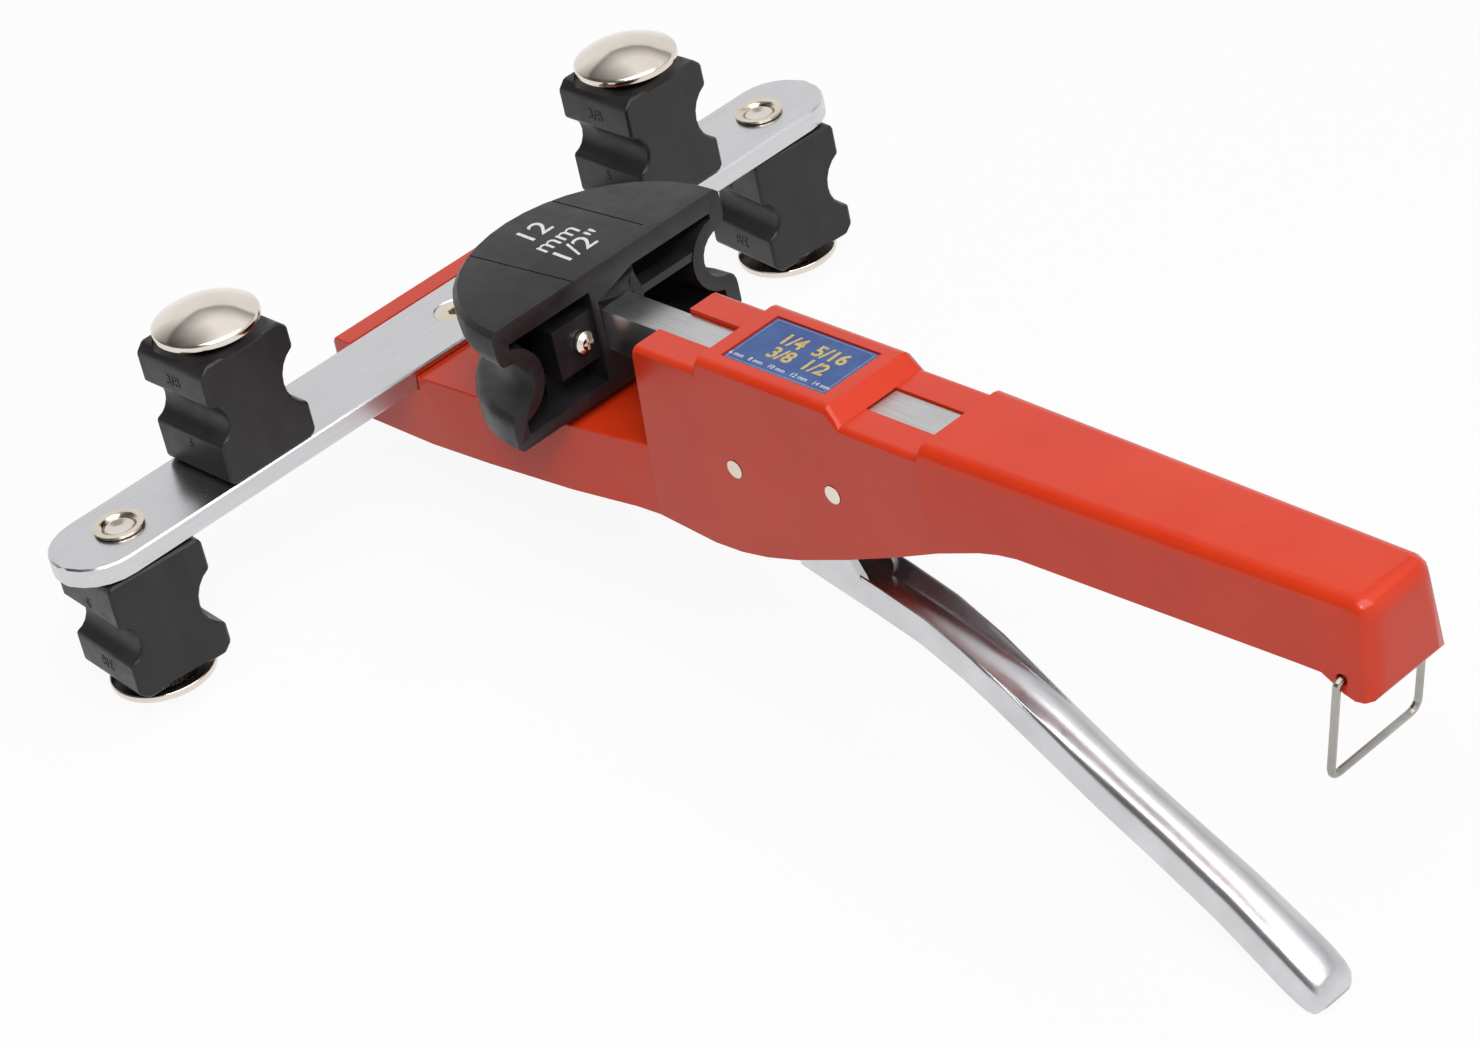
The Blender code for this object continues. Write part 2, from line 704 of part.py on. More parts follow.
def former_profile():
    half = FORMER_HEIGHT / 2
    rim = FORMER_RIM_RADIUS
    edge = FORMER_EDGE
    middle = groove_centre()
    lip = []
    for i in range(LIP_STEPS + 1):
        angle = math.radians(90 * i / LIP_STEPS)
        height = FORMER_GROOVE_RADIUS + FORMER_LIP_RISE * (1 - math.sin(angle))
        lip.append((middle + FORMER_LIP_REACH * math.cos(angle), height))
    upper = [(0, half), (rim - edge, half), (rim, half - edge)] + lip
    lower = [(radius, -height) for radius, height in reversed(upper)]
    return upper + arc((middle, 0), FORMER_GROOVE_RADIUS, 90, 270, GROOVE_STEPS)[1:-1] + lower


def former_hollow_profile():
    half = FORMER_HEIGHT / 2
    outer = FORMER_RIM_RADIUS - FORMER_WALL
    middle = groove_centre()
    radius = FORMER_GROOVE_RADIUS + FORMER_GROOVE_WALL
    start = math.degrees(math.acos((outer - middle) / radius))
    bulge = arc((middle, 0), radius, start, 360 - start, GROOVE_STEPS)
    return [(0, half - FORMER_ROOF), (outer, half - FORMER_ROOF)] + bulge + [
        (outer, FORMER_FLOOR - half), (0, FORMER_FLOOR - half),
    ]


def make_former(look):
    centre = former_centre()
    former = turned("bend_former", former_profile(), steps=FINE_ROUND)
    former.location = centre
    far = FORMER_RIM_RADIUS + OVERRUN
    rear = box("former_rear_cut", (FORMER_REAR, -far, -far), (centre.x + far, far, far))
    hollow = turned("former_hollow", former_hollow_profile(), HELPERS, FINE_ROUND)
    hollow.location = centre
    cut(former, hollow)
    half = FORMER_HEIGHT / 2
    top = centre.z + half - FORMER_ROOF / 2
    bottom = centre.z - half + FORMER_FLOOR / 2
    waist = groove_centre() - FORMER_GROOVE_RADIUS
    front = centre.x - waist + FORMER_WALL / 2
    boss_half = FORMER_BOSS_WIDTH / 2
    boss = box("former_boss", (front, -boss_half, bottom), (FORMER_REAR, boss_half, top))
    sloped = [
        (front, bottom), (FORMER_REAR, bottom), (FORMER_REAR, WEB_SLOPE_LOW),
        (FORMER_REAR - WEB_SLOPE_RUN, top), (front, top),
    ]
    upright = Matrix.Translation((0, WEB_FAR_SIDE / 2, 0)) @ TO_XZ
    side_web = extruded("former_side_web", sloped, WEB_FAR_SIDE, upright)
    rib_rear = FORMER_REAR - FORMER_RIB_SETBACK
    rib = box(
        "former_rib", (rib_rear - FORMER_RIB_DEPTH, 0, FORMER_RIB_LOW),
        (rib_rear, waist - FORMER_GROOVE_WALL / 2, FORMER_RIB_LOW + FORMER_RIB),
    )
    panel_x = FORMER_REAR - PANEL_SETBACK
    panel = box(
        "former_panel", (panel_x - PANEL_THICKNESS, -boss_half - PANEL_WIDTH, RACK_MIDDLE - PANEL_HEIGHT / 2),
        (panel_x, 0, RACK_MIDDLE + PANEL_HEIGHT / 2),
    )
    web = box(
        "former_web", (panel_x - PANEL_THICKNESS, -boss_half - PANEL_WIDTH, bottom),
        (panel_x - PANEL_THICKNESS + FORMER_RIB, 0, top),
    )
    join(former, boss, side_web, rib, panel, web)
    cut(former, rear)
    slot = box(
        "former_slot", (rack_front() - SEAT_GAP, -CHANNEL_HALF, CHANNEL_FLOOR),
        (FORMER_REAR + OVERRUN, CHANNEL_HALF, CHANNEL_ROOF + FORMER_SLOT_HEADROOM),
    )
    screw = screw_place()
    hole_end = screw - Vector((SCREW_LENGTH + SEAT_GAP, 0, 0))
    hole = cylinder("former_screw_hole", screw + Vector((OVERRUN, 0, 0)), hole_end, SCREW_RADIUS + PIN_FIT)
    cut(former, slot, hole)
    return dress(former, look, smooth=False)


def screw_place():
    """The middle of the panel's face, where the screw goes in."""
    return Vector((FORMER_REAR - PANEL_SETBACK, -FORMER_BOSS_WIDTH / 2 - PANEL_WIDTH / 3, RACK_MIDDLE))


def make_former_screw(look):
    head = SCREW_HEAD_RADIUS
    arm = head * SCREW_FLAT_SHARE
    top = SEAT_GAP + SCREW_HEAD_HEIGHT
    profile = [
        (0, top), (arm, top), (head, SEAT_GAP + SCREW_HEAD_HEIGHT / 2), (head, SEAT_GAP),
        (SCREW_RADIUS, SEAT_GAP), (SCREW_RADIUS, -SCREW_LENGTH), (0, -SCREW_LENGTH),
    ]
    screw = turned("former_screw", profile)
    across = SCREW_CROSS / 2
    for name, x, y in (("cross_slot_long", arm, across), ("cross_slot_wide", across, arm)):
        slot = box(name, (-x, -y, top - SCREW_RECESS), (x, y, top + OVERRUN))
        slot.matrix_world = Matrix.Translation(screw_place()) @ Matrix.Rotation(math.pi / 2, 4, "Y")
        cut(screw, slot)
    screw.matrix_world = Matrix.Translation(screw_place()) @ Matrix.Rotation(math.pi / 2, 4, "Y")
    return dress(screw, look, smooth=False)


# Body casting


def top_table():
    return (
        (NOSE_X, -NOSE_ROUND), (NOSE_X + NOSE_ROUND, 0), (-SLOT_HALF / 2, 0), (SLOT_HALF / 2, -DECK_DROP),
        (EAR_X, -DECK_REAR_DROP), (EAR_X + STEP_RUN / 2, FRONT_EAR_HEIGHT), (FRAME_X, FRONT_EAR_HEIGHT),
        (FRAME_X + STEP_RUN, FRAME_HEIGHT), (REAR_EAR_X - FRAME_REAR_RUN, FRAME_HEIGHT),
        (REAR_EAR_X, REAR_EAR_HEIGHT), (HANDLE_X, REAR_EAR_HEIGHT), (HANDLE_X + STEP_RUN, HANDLE_HEIGHT),
    ) + tuple(
        (END_X - HANDLE_END_ROUND * (1 - run), HANDLE_HEIGHT - HANDLE_END_ROUND * fall)
        for run, fall in END_ROUND_SHARES
    )


def underside_table():
    rise = WAIST_HEIGHT + BELLY_DEPTH
    length = WAIST_START - BELLY_LOW
    belly = tuple((BELLY_LOW + length * run, -BELLY_DEPTH + rise * share) for run, share in BELLY_RISE_SHARES)
    drop = UNDERSIDE_END_HEIGHT - LUG_BOTTOM
    lug = tuple((LUG_X + LUG_LENGTH * run, UNDERSIDE_END_HEIGHT - drop * share) for run, share in LUG_SHARES)
    return ((NOSE_X, -NOSE_DEPTH), (BELLY_START, -NOSE_DEPTH)) + belly + lug


def edge_table():
    return (
        (NOSE_X, DECK_EDGE), (EAR_X, DECK_EDGE), (EAR_X + STEP_RUN / 2, EAR_EDGE), (FRAME_X, EAR_EDGE),
        (FRAME_X + STEP_RUN, FRAME_EDGE), (REAR_EAR_X - FRAME_REAR_RUN, FRAME_EDGE), (REAR_EAR_X, EAR_EDGE),
        (HANDLE_X, EAR_EDGE), (HANDLE_X + STEP_RUN, HANDLE_EDGE),
    )


def side_at_deck_rear():
    """How wide the ears' flaring sides are at the height of the deck."""
    fall = FRONT_EAR_HEIGHT + DECK_REAR_DROP
    return BODY_HALF_WIDTH + BODY_FLARE * fall / (FRONT_EAR_HEIGHT + NOSE_DEPTH)


def top_width_table():
    rear = side_at_deck_rear()
    deck = tuple(
        (SLOT_HALF + DECK_LENGTH * run, rear + (NOSE_HALF_WIDTH - rear) * share)
        for run, share in DECK_WIDTH_SHARES
    )
    nose = tuple(
        (NOSE_X + NOSE_ROUND * (1 - run), NOSE_HALF_WIDTH - NOSE_ROUND * fall)
        for run, fall in reversed(END_ROUND_SHARES)
    )
    end = tuple(
        (END_X - HANDLE_END_ROUND * (1 - run), HANDLE_END_HALF_WIDTH - HANDLE_END_ROUND * fall)
        for run, fall in END_ROUND_SHARES
    )
    return nose + deck + ((EAR_X + STEP_RUN / 2, BODY_HALF_WIDTH), (HANDLE_X, BODY_HALF_WIDTH)) + end


def flare_table():
    return (
        (NOSE_X, NOSE_FLARE), (SLOT_HALF, NOSE_FLARE),
        (EAR_X, BODY_HALF_WIDTH + BODY_FLARE - side_at_deck_rear()), (EAR_X + STEP_RUN / 2, BODY_FLARE),
        (BELLY_LOW, BODY_FLARE), (HANDLE_X, HANDLE_START_FLARE),
        (LUG_X, HANDLE_FLARE), (END_X, HANDLE_FLARE),
    )


def stations_of(places):
    """The places in order, without those that are too near the last one to make a section."""
    places = sorted(places)
    stations = [places[0]]
    for x in places[1:]:
        if x - stations[-1] > LEAST_STATION_STEP:
            stations.append(x)
    return stations


def body_stations():
    tables = (top_table(), underside_table(), edge_table(), top_width_table(), flare_table())
    return stations_of({x for table in tables for x, _ in table})


def outer_half_width(x, z):
    top, bottom = value_at(top_table(), x), value_at(underside_table(), x)
    narrow = value_at(top_width_table(), x)
    flare = value_at(flare_table(), x)
    return narrow + flare * (top - z) / (top - bottom)


def body_ring(x):
    top, bottom = value_at(top_table(), x), value_at(underside_table(), x)
    edge = value_at(edge_table(), x)
    half = value_at(top_width_table(), x)
    low = half + value_at(flare_table(), x)
    right = arc((half - edge, top - edge), edge, 90, 0, 3) + [(low, bottom)]
    left = [(-y, z) for y, z in reversed(right)]
    return [(x, y, z) for y, z in right + left]


def cavity_top_table():
    deck = -DECK_REAR_DROP - FLOOR
    shift = STEP_RUN / 2
    guide_start, guide_end = EAR_X + WALL, EAR_X + WALL + FRONT_GUIDE_LENGTH
    rear_guide = HANDLE_X - REAR_GUIDE_LENGTH
    return (
        (NOSE_X + WALL, SLOT_FLOOR - FLOOR), (SLOT_HALF + FLOOR, SLOT_FLOOR - FLOOR),
        (SLOT_HALF + FLOOR + shift, deck), (guide_start, deck),
        (guide_start + shift, GUIDE_BOTTOM), (guide_end, GUIDE_BOTTOM),
        (guide_end + shift, CHANNEL_FLOOR + SEAT_GAP), (rear_guide, CHANNEL_FLOOR + SEAT_GAP),
        (rear_guide + shift, GUIDE_BOTTOM), (HANDLE_X + WALL - shift, GUIDE_BOTTOM),
        (HANDLE_X + WALL, CHANNEL_ROOF), (END_X - END_WALL, CHANNEL_ROOF),
    )


def cavity_ring(x):
    top = value_at(cavity_top_table(), x)
    bottom = -BELLY_DEPTH - OVERRUN
    narrow = outer_half_width(x, top) - WALL
    wide = outer_half_width(x, bottom) - WALL
    return [(x, narrow, top), (x, wide, bottom), (x, -wide, bottom), (x, -narrow, top)]


def cavity_stations():
    tables = (cavity_top_table(), underside_table(), top_width_table(), top_table())
    start, end = NOSE_X + WALL, END_X - END_WALL
    return stations_of({x for table in tables for x, _ in table if start < x < end} | {start, end})


def cross_hole(name, x, z, radius):
    reach = NOSE_HALF_WIDTH + OVERRUN
    return cylinder(name, (x, -reach, z), (x, reach, z), radius)


def make_body(look):
    body = loft("body_casting", [body_ring(x) for x in body_stations()])
    cavity = loft("body_cavity", [cavity_ring(x) for x in cavity_stations()], HELPERS)
    cut(body, cavity)
    wide = NOSE_HALF_WIDTH + OVERRUN
    boss_bottom = SLOT_FLOOR - FLOOR - BOSS_HEIGHT
    join(body, cylinder("bolt_boss", (0, 0, boss_bottom), (0, 0, SLOT_FLOOR - FLOOR / 2), BOSS_RADIUS))
    slot = box("crossbar_slot", (-SLOT_HALF, -wide, SLOT_FLOOR), (SLOT_HALF, wide, OVERRUN))
    bolt_radius = CENTRE_BOLT_RADIUS + SEAT_GAP
    bolt = cylinder("bolt_hole", (0, 0, boss_bottom - OVERRUN), (0, 0, OVERRUN), bolt_radius)
    start = EAR_X - OVERRUN
    tunnel_end = HANDLE_X + WALL + SEAT_GAP
    near, far = (start, -CHANNEL_HALF, CHANNEL_FLOOR), (tunnel_end, CHANNEL_HALF, CHANNEL_ROOF)
    tunnel = box("rack_tunnel", near, far)
    sky = HANDLE_HEIGHT + OVERRUN
    front_window = box("front_window", (start, -CHANNEL_HALF, RACK_MIDDLE), (FRAME_X, CHANNEL_HALF, sky))
    rear_window = box("rear_window", (REAR_EAR_X, -CHANNEL_HALF, RACK_MIDDLE), (HANDLE_X, CHANNEL_HALF, sky))
    badge_x = FRAME_X + BADGE_SETBACK
    recess = box(
        "badge_recess", (badge_x, -BADGE_WIDTH / 2, FRAME_HEIGHT - BADGE_RECESS),
        (badge_x + BADGE_LENGTH, BADGE_WIDTH / 2, sky),
    )
    pivot_hole = cross_hole("pivot_hole", PIVOT_X, PIVOT_Z, PIN_RADIUS + PIN_FIT)
    rear_hole = cross_hole("rear_pin_hole", REAR_PIN_X, REAR_PIN_Z, PIN_RADIUS + PIN_FIT)
    hook_hole = cross_hole("hook_hole", HOOK_X, HOOK_HEIGHT, HOOK_HOLE_RADIUS)
    cut(body, slot, bolt, tunnel, front_window, rear_window, recess, pivot_hole, rear_hole, hook_hole)
    return dress(body, look, smooth=False)


def make_badge(look):
    x = FRAME_X + BADGE_SETBACK + SEAT_GAP
    y = BADGE_WIDTH / 2 - SEAT_GAP
    z = FRAME_HEIGHT - BADGE_RECESS + SEAT_GAP
    badge = box("badge_plate", (x, -y, z), (x + BADGE_LENGTH - 2 * SEAT_GAP, y, z + BADGE_THICKNESS), PARTS)
    return dress(badge, look, smooth=False)


def make_pin(name, x, z, look):
    half = outer_half_width(x, z) + PIN_PROUD
    return dress(cylinder(name, (x, -half, z), (x, half, z), PIN_RADIUS, PARTS), look)


# Lever, pawls, spacers and springs


def lever_stations():
    rows = LEVER_SHARES + LEVER_TIP_SHARES
    points = [Vector((PIVOT_X + LEVER_REACH * row[0], 0, PIVOT_Z - LEVER_DROP * row[1])) for row in rows]
    stations = []
    for i, (_, _, width, crown, channel) in enumerate(rows):
        along = points[min(i + 1, len(points) - 1)] - points[max(i - 1, 0)]
        up = Vector((-along.z, 0, along.x)).normalized()
        stations.append((points[i], up, LEVER_WIDTH / 2 * width, LEVER_THICKNESS * crown, channel))
    return stations


def lever_ring(base, up, half, height, channel):
    """One section: flat skirts at the sides, then a rounded crown, a channel, or what is between the two."""
    skirt = min(LEVER_SKIRT, height * SKIRT_SHARE)
    floor = LEVER_THICKNESS * CHANNEL_FLOOR_SHARE
    side = [(half, 0)]
    for across, rise in CHANNEL_SHARES:
        crown = skirt + (height - skirt) * (1 - across**CROWN_POWER) ** (1 / CROWN_POWER)
        trough = floor + (height - floor) * rise
        side.append((half * across, crown + (trough - crown) * channel))
    ring = side + [(-y, z) for y, z in reversed(side[:-1])]
    return [base + up * z + Vector((0, y, 0)) for y, z in ring]


def cheek(name, side):
    outline = wrapped((
        (PAWL_PIN_X, PAWL_PIN_Z, PAWL_ARM_RADIUS),
        (PIVOT_X, PIVOT_Z, LEVER_HEAD_RADIUS),
        (PIVOT_X + LEVER_HEEL_REACH, PIVOT_Z - LEVER_HEEL_DROP, LEVER_HEEL_RADIUS),
        (PIVOT_X + LEVER_NECK_REACH, PIVOT_Z - LEVER_NECK_DROP, LEVER_NECK_RADIUS),
    ), 24)
    middle = side * (lever_head_half() - LEVER_CHEEK / 2)
    return extruded(name, outline, LEVER_CHEEK, Matrix.Translation((0, middle, 0)) @ TO_XZ)


def lever_head_half():
    return LEVER_WIDTH / 2 * LEVER_SHARES[0][2]


def make_lever(look):
    lever = loft("lever", [lever_ring(*station) for station in lever_stations()])
    join(lever, cheek("near_cheek", -1), cheek("far_cheek", 1))
    cut(
        lever,
        cross_hole("lever_bore", PIVOT_X, PIVOT_Z, PIN_RADIUS + PIN_FIT),
        cross_hole("pawl_pin_bore", PAWL_PIN_X, PAWL_PIN_Z, PAWL_PIN_RADIUS + PIN_FIT),
    )
    return dress(lever, look, smooth=False)


def make_spacer(name, side, look):
    inner = lever_head_half() + SEAT_GAP
    outer = outer_half_width(PIVOT_X, PIVOT_Z + SPACER_RADIUS) - WALL - SEAT_GAP
    near, far = (PIVOT_X, side * inner, PIVOT_Z), (PIVOT_X, side * outer, PIVOT_Z)
    ring = cylinder(name, near, far, SPACER_RADIUS, PARTS)
    return dress(cut(ring, cross_hole(name + "_bore", PIVOT_X, PIVOT_Z, PIN_RADIUS + PIN_FIT)), look)


def make_drive_pawl(look):
    outline = wrapped((
        (PAWL_PIN_X, PAWL_PIN_Z, PAWL_EYE_RADIUS),
        (PAWL_PIN_X - DRIVE_PAWL_REACH, PAWL_TIP_Z, PAWL_TIP_RADIUS),
        (PAWL_PIN_X + DRIVE_PAWL_TAIL_REACH, PAWL_PIN_Z - DRIVE_PAWL_TAIL_DROP, DRIVE_PAWL_TAIL_RADIUS),
    ))
    inner = lever_head_half() - LEVER_CHEEK - SEAT_GAP
    turn = Matrix.Translation((0, -inner + PAWL_WIDTH / 2, 0)) @ TO_XZ
    pawl = extruded("drive_pawl", outline, PAWL_WIDTH, turn, PARTS)
    cut(pawl, cross_hole("drive_pawl_bore", PAWL_PIN_X, PAWL_PIN_Z, PAWL_PIN_RADIUS + PIN_FIT))
    return dress(pawl, look, smooth=False)


def make_drive_pawl_pin(look):
    half = lever_head_half()
    near, far = (PAWL_PIN_X, -half, PAWL_PIN_Z), (PAWL_PIN_X, half, PAWL_PIN_Z)
    return dress(cylinder("drive_pawl_pin", near, far, PAWL_PIN_RADIUS, PARTS), look)


def make_holding_pawl(look):
    outline = wrapped((
        (REAR_PIN_X, REAR_PIN_Z, HOLDING_PAWL_HUB_RADIUS - HOLDING_PAWL_STEP),
        (REAR_PIN_X - HOLDING_PAWL_REACH, PAWL_TIP_Z, PAWL_TIP_RADIUS),
    ))
    pawl = extruded("holding_pawl", outline, HOLDING_PAWL_NOSE_WIDTH, TO_XZ, PARTS)
    near = -(outer_half_width(REAR_PIN_X, REAR_PIN_Z + HOLDING_PAWL_HUB_RADIUS) - WALL - SEAT_GAP)
    start, end = (REAR_PIN_X, near, REAR_PIN_Z), (REAR_PIN_X, holding_hub_end(), REAR_PIN_Z)
    hub = cylinder("holding_pawl_hub", start, end, HOLDING_PAWL_HUB_RADIUS)
    join(pawl, hub)
    cut(pawl, cross_hole("holding_pawl_bore", REAR_PIN_X, REAR_PIN_Z, PIN_RADIUS + PIN_FIT))
    return dress(pawl, look, smooth=False)


def holding_hub_end():
    return HOLDING_PAWL_NOSE_WIDTH / 2 + SEAT_GAP


def coil(name, x, z, first_y, core, wire_radius, pitch, turns, look):
    """A wound spring on a pin along Y. It prints the least gap between its turns."""
    steps = 10
    radius = core + SEAT_GAP + wire_radius
    points = []
    for i in range(turns * steps + 1):
        angle = 2 * math.pi * i / steps
        y = first_y + wire_radius + pitch * i / steps
        points.append((x + radius * math.cos(angle), y, z + radius * math.sin(angle)))
    gap = min(
        (Vector(a) - Vector(b)).length - 2 * wire_radius
        for i, a in enumerate(points) for b in points[i + steps // 2:]
    )
    print(f"{name}: least gap between turns {gap * 1000:.2f} mm")
    spring = wire(name, points, wire_radius)
    spring.data.bevel_resolution = 1
    return dress(spring, look)


# Hanging hook


def filleted(corners, radius, steps=4):
    """A route whose inner corners are rounded."""
    route = [corners[0]]
    for before, corner, after in zip(corners, corners[1:], corners[2:]):
        back, on = (before - corner).normalized(), (after - corner).normalized()
        half = back.angle(on) / 2
        reach = radius / math.tan(half)
        centre = corner + (back + on).normalized() * radius / math.sin(half)
        start, end = corner + back * reach - centre, corner + on * reach - centre
        for i in range(steps + 1):
            route.append(centre + start.slerp(end, i / steps).normalized() * radius)
    return route + [corners[-1]]


def make_hook(look, down):
    side = outer_half_width(HOOK_X, HOOK_HEIGHT) + HOOK_SIDE_GAP + HOOK_WIRE_RADIUS
    eye = Vector((HOOK_X, 0, HOOK_HEIGHT))
    near, far = Vector((0, -side, 0)), Vector((0, side, 0))
    inner = Vector((0, side - HOOK_TAIL - HOOK_SIDE_GAP - HOOK_WIRE_RADIUS, 0))
    drop = down * HOOK_DROP
    corners = [eye - inner, eye + near, eye + near + drop, eye + far + drop, eye + far, eye + inner]
    route = [corners[0]] + filleted(corners[:3], HOOK_EYE_BEND)[1:-1]
    route += filleted([corners[1], corners[2], corners[3], corners[4]], HOOK_BEND)[1:-1]
    route += filleted(corners[3:], HOOK_EYE_BEND)[1:-1] + [corners[5]]
    return dress(wire("hanging_hook", route, HOOK_WIRE_RADIUS), look)


# The stance: on the two lower domes and the lever's tip


def dome_sphere_height():
    """Where the middle of the lower domes' sphere is."""
    return -CROSSBAR_THICKNESS - DOME_TOP + DOME_SPHERE


def stance_tilt():
    """The tilt at which the bench touches the domes and just one point of the open lever."""
    middle = dome_sphere_height()

    def needed(point):
        span = math.hypot(point.x, middle - point.z)
        return math.atan2(middle - point.z, point.x) - math.asin(DOME_SPHERE / span)

    return max(needed(base) for base, *_ in lever_stations())


def centre_on_origin(stance):
    """Moves the tool so that the middle of its footprint is the origin."""
    bpy.context.view_layer.update()
    depsgraph = bpy.context.evaluated_depsgraph_get()
    places = []
    for obj in PARTS.objects:
        if obj.type != "EMPTY":
            evaluated = obj.evaluated_get(depsgraph)
            places += [evaluated.matrix_world @ vertex.co for vertex in evaluated.to_mesh().vertices]
            evaluated.to_mesh_clear()
    for axis in (0, 1):
        values = [place_of[axis] for place_of in places]
        stance.location[axis] -= (min(values) + max(values)) / 2


def main():
    red = material("red_enamelled_die_casting", (0.70, 0.045, 0.02), 0.30, 0)
    blue = material("blue_badge_plate", (0.05, 0.12, 0.33), 0.45, 0)
    bar_steel = material("satin_plated_steel", (0.60, 0.60, 0.61), 0.35, 1)
    nickel = material("nickel_plated_steel", (0.66, 0.63, 0.58), 0.18, 1)
    nylon = material("black_nylon", (0.025, 0.024, 0.026), 0.50, 0)
    rack_steel = material("grey_steel", (0.45, 0.46, 0.46), 0.40, 1)
    chrome = material("satin_chrome", (0.62, 0.62, 0.64), 0.25, 1)
    dark_steel = material("oiled_dark_steel", (0.12, 0.12, 0.12), 0.45, 1)

    tilt = stance_tilt()
    down = Vector((-math.sin(tilt), 0, -math.cos(tilt)))
    stance = empty("stance", (0, 0, DOME_SPHERE - dome_sphere_height() * math.cos(tilt)))
    stance.rotation_euler = (0, -tilt, 0)
    root = empty("body_frame", (0, 0, 0), stance)
    bar_axis = empty("bar_slide_axis", (FORMER_REAR, 0, RACK_MIDDLE), stance)
    lever_axis = empty("lever_axis", (PIVOT_X, 0, PIVOT_Z), stance)
    drive_axis = empty("drive_pawl_axis", (PAWL_PIN_X, 0, PAWL_PIN_Z), stance)
    holding_axis = empty("holding_pawl_axis", (REAR_PIN_X, 0, REAR_PIN_Z), stance)
    hook_axis = empty("hook_axis", (HOOK_X, 0, HOOK_HEIGHT), stance)

    fixed_parts = (make_body(red), make_badge(blue), make_crossbar(bar_steel), make_centre_bolt(nickel))
    for obj in (*fixed_parts, make_centre_nut(dark_steel)):
        carry(obj, root)

    places = (
        ("near_inner", -INNER_PIN_Y, False), ("far_inner", INNER_PIN_Y, False),
        ("near_outer", -OUTER_PIN_Y, True), ("far_outer", OUTER_PIN_Y, True),
    )
    for name, y, under in places:
        height = -CROSSBAR_THICKNESS if under else 0
        axis = empty(name + "_block_axis", (0, y, height), stance)
        fixed = empty(name + "_bolt_place", (0, y, height), stance)
        if under:
            axis.rotation_euler = (0, math.pi, -math.radians(LOWER_BLOCK_TURN_DEGREES))
            fixed.rotation_euler = (0, math.pi, 0)
        block = make_block(name + "_block", nylon)
        bolt = make_dome_bolt(name + "_dome_bolt", nickel)
        nut = make_sleeve_nut(name + "_sleeve_nut", nickel)
        for obj, holder in ((block, axis), (bolt, fixed), (nut, fixed)):
            obj.parent = holder
            for step in obj.modifiers:
                if step.type == "BOOLEAN":
                    step.object.parent = holder

    sliding_parts = (make_rack(rack_steel), make_stop_pin(dark_steel), make_former(nylon))
    for obj in (*sliding_parts, make_former_screw(nickel)):
        carry(obj, bar_axis)

    carry(make_lever(chrome), lever_axis)
    carry(make_drive_pawl_pin(dark_steel), lever_axis)
    carry(make_pin("lever_pivot_pin", PIVOT_X, PIVOT_Z, bar_steel), root)
    carry(make_pin("holding_pawl_pin", REAR_PIN_X, REAR_PIN_Z, bar_steel), root)
    carry(make_spacer("near_lever_spacer", -1, dark_steel), root)
    carry(make_spacer("far_lever_spacer", 1, dark_steel), root)
    carry(make_drive_pawl(dark_steel), drive_axis)
    carry(make_holding_pawl(dark_steel), holding_axis)

    lever_coil = LEVER_SPRING_PITCH * LEVER_SPRING_TURNS + 2 * LEVER_SPRING_WIRE
    carry(coil(
        "lever_return_spring", PIVOT_X, PIVOT_Z, -lever_coil / 2, PIN_RADIUS,
        LEVER_SPRING_WIRE, LEVER_SPRING_PITCH, LEVER_SPRING_TURNS, dark_steel,
    ), root)
    drive_coil_start = -(lever_head_half() - LEVER_CHEEK - SEAT_GAP) + PAWL_WIDTH + SEAT_GAP
    carry(coil(
        "drive_pawl_spring", PAWL_PIN_X, PAWL_PIN_Z, drive_coil_start, PAWL_PIN_RADIUS,
        DRIVE_SPRING_WIRE, DRIVE_SPRING_PITCH, DRIVE_SPRING_TURNS, dark_steel,
    ), lever_axis)
    carry(coil(
        "holding_pawl_spring", REAR_PIN_X, REAR_PIN_Z, holding_hub_end() + SEAT_GAP, PIN_RADIUS,
        HOLDING_SPRING_WIRE, HOLDING_SPRING_PITCH, HOLDING_SPRING_TURNS, dark_steel,
    ), root)
    carry(make_hook(bar_steel, down), hook_axis)
    centre_on_origin(stance)
    print(f"tilt {math.degrees(tilt):.2f} degrees, place of the crossbar's middle {tuple(stance.location)}")


main()
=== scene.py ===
"""How the manual pipe bender looks: finer pieces and finishes round its fixed frame."""

import json
import math

import bmesh
import bpy
from mathutils import Matrix, Vector

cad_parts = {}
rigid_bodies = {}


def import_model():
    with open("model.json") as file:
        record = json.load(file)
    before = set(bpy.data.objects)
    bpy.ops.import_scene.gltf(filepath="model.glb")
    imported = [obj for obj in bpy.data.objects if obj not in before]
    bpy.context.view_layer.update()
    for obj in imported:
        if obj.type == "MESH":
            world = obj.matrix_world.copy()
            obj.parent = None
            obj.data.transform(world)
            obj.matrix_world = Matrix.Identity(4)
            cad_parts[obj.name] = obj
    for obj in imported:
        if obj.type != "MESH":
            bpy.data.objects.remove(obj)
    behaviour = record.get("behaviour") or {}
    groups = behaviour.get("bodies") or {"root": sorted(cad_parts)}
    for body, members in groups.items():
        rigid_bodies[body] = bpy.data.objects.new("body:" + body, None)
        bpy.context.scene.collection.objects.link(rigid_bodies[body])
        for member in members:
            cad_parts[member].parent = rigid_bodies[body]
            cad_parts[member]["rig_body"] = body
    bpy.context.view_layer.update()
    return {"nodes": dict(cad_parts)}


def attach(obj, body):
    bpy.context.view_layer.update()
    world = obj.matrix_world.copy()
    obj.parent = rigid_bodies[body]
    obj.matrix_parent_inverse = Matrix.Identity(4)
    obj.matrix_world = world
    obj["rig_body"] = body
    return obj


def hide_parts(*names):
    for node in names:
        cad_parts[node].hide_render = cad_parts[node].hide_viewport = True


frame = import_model()

MM = 0.001

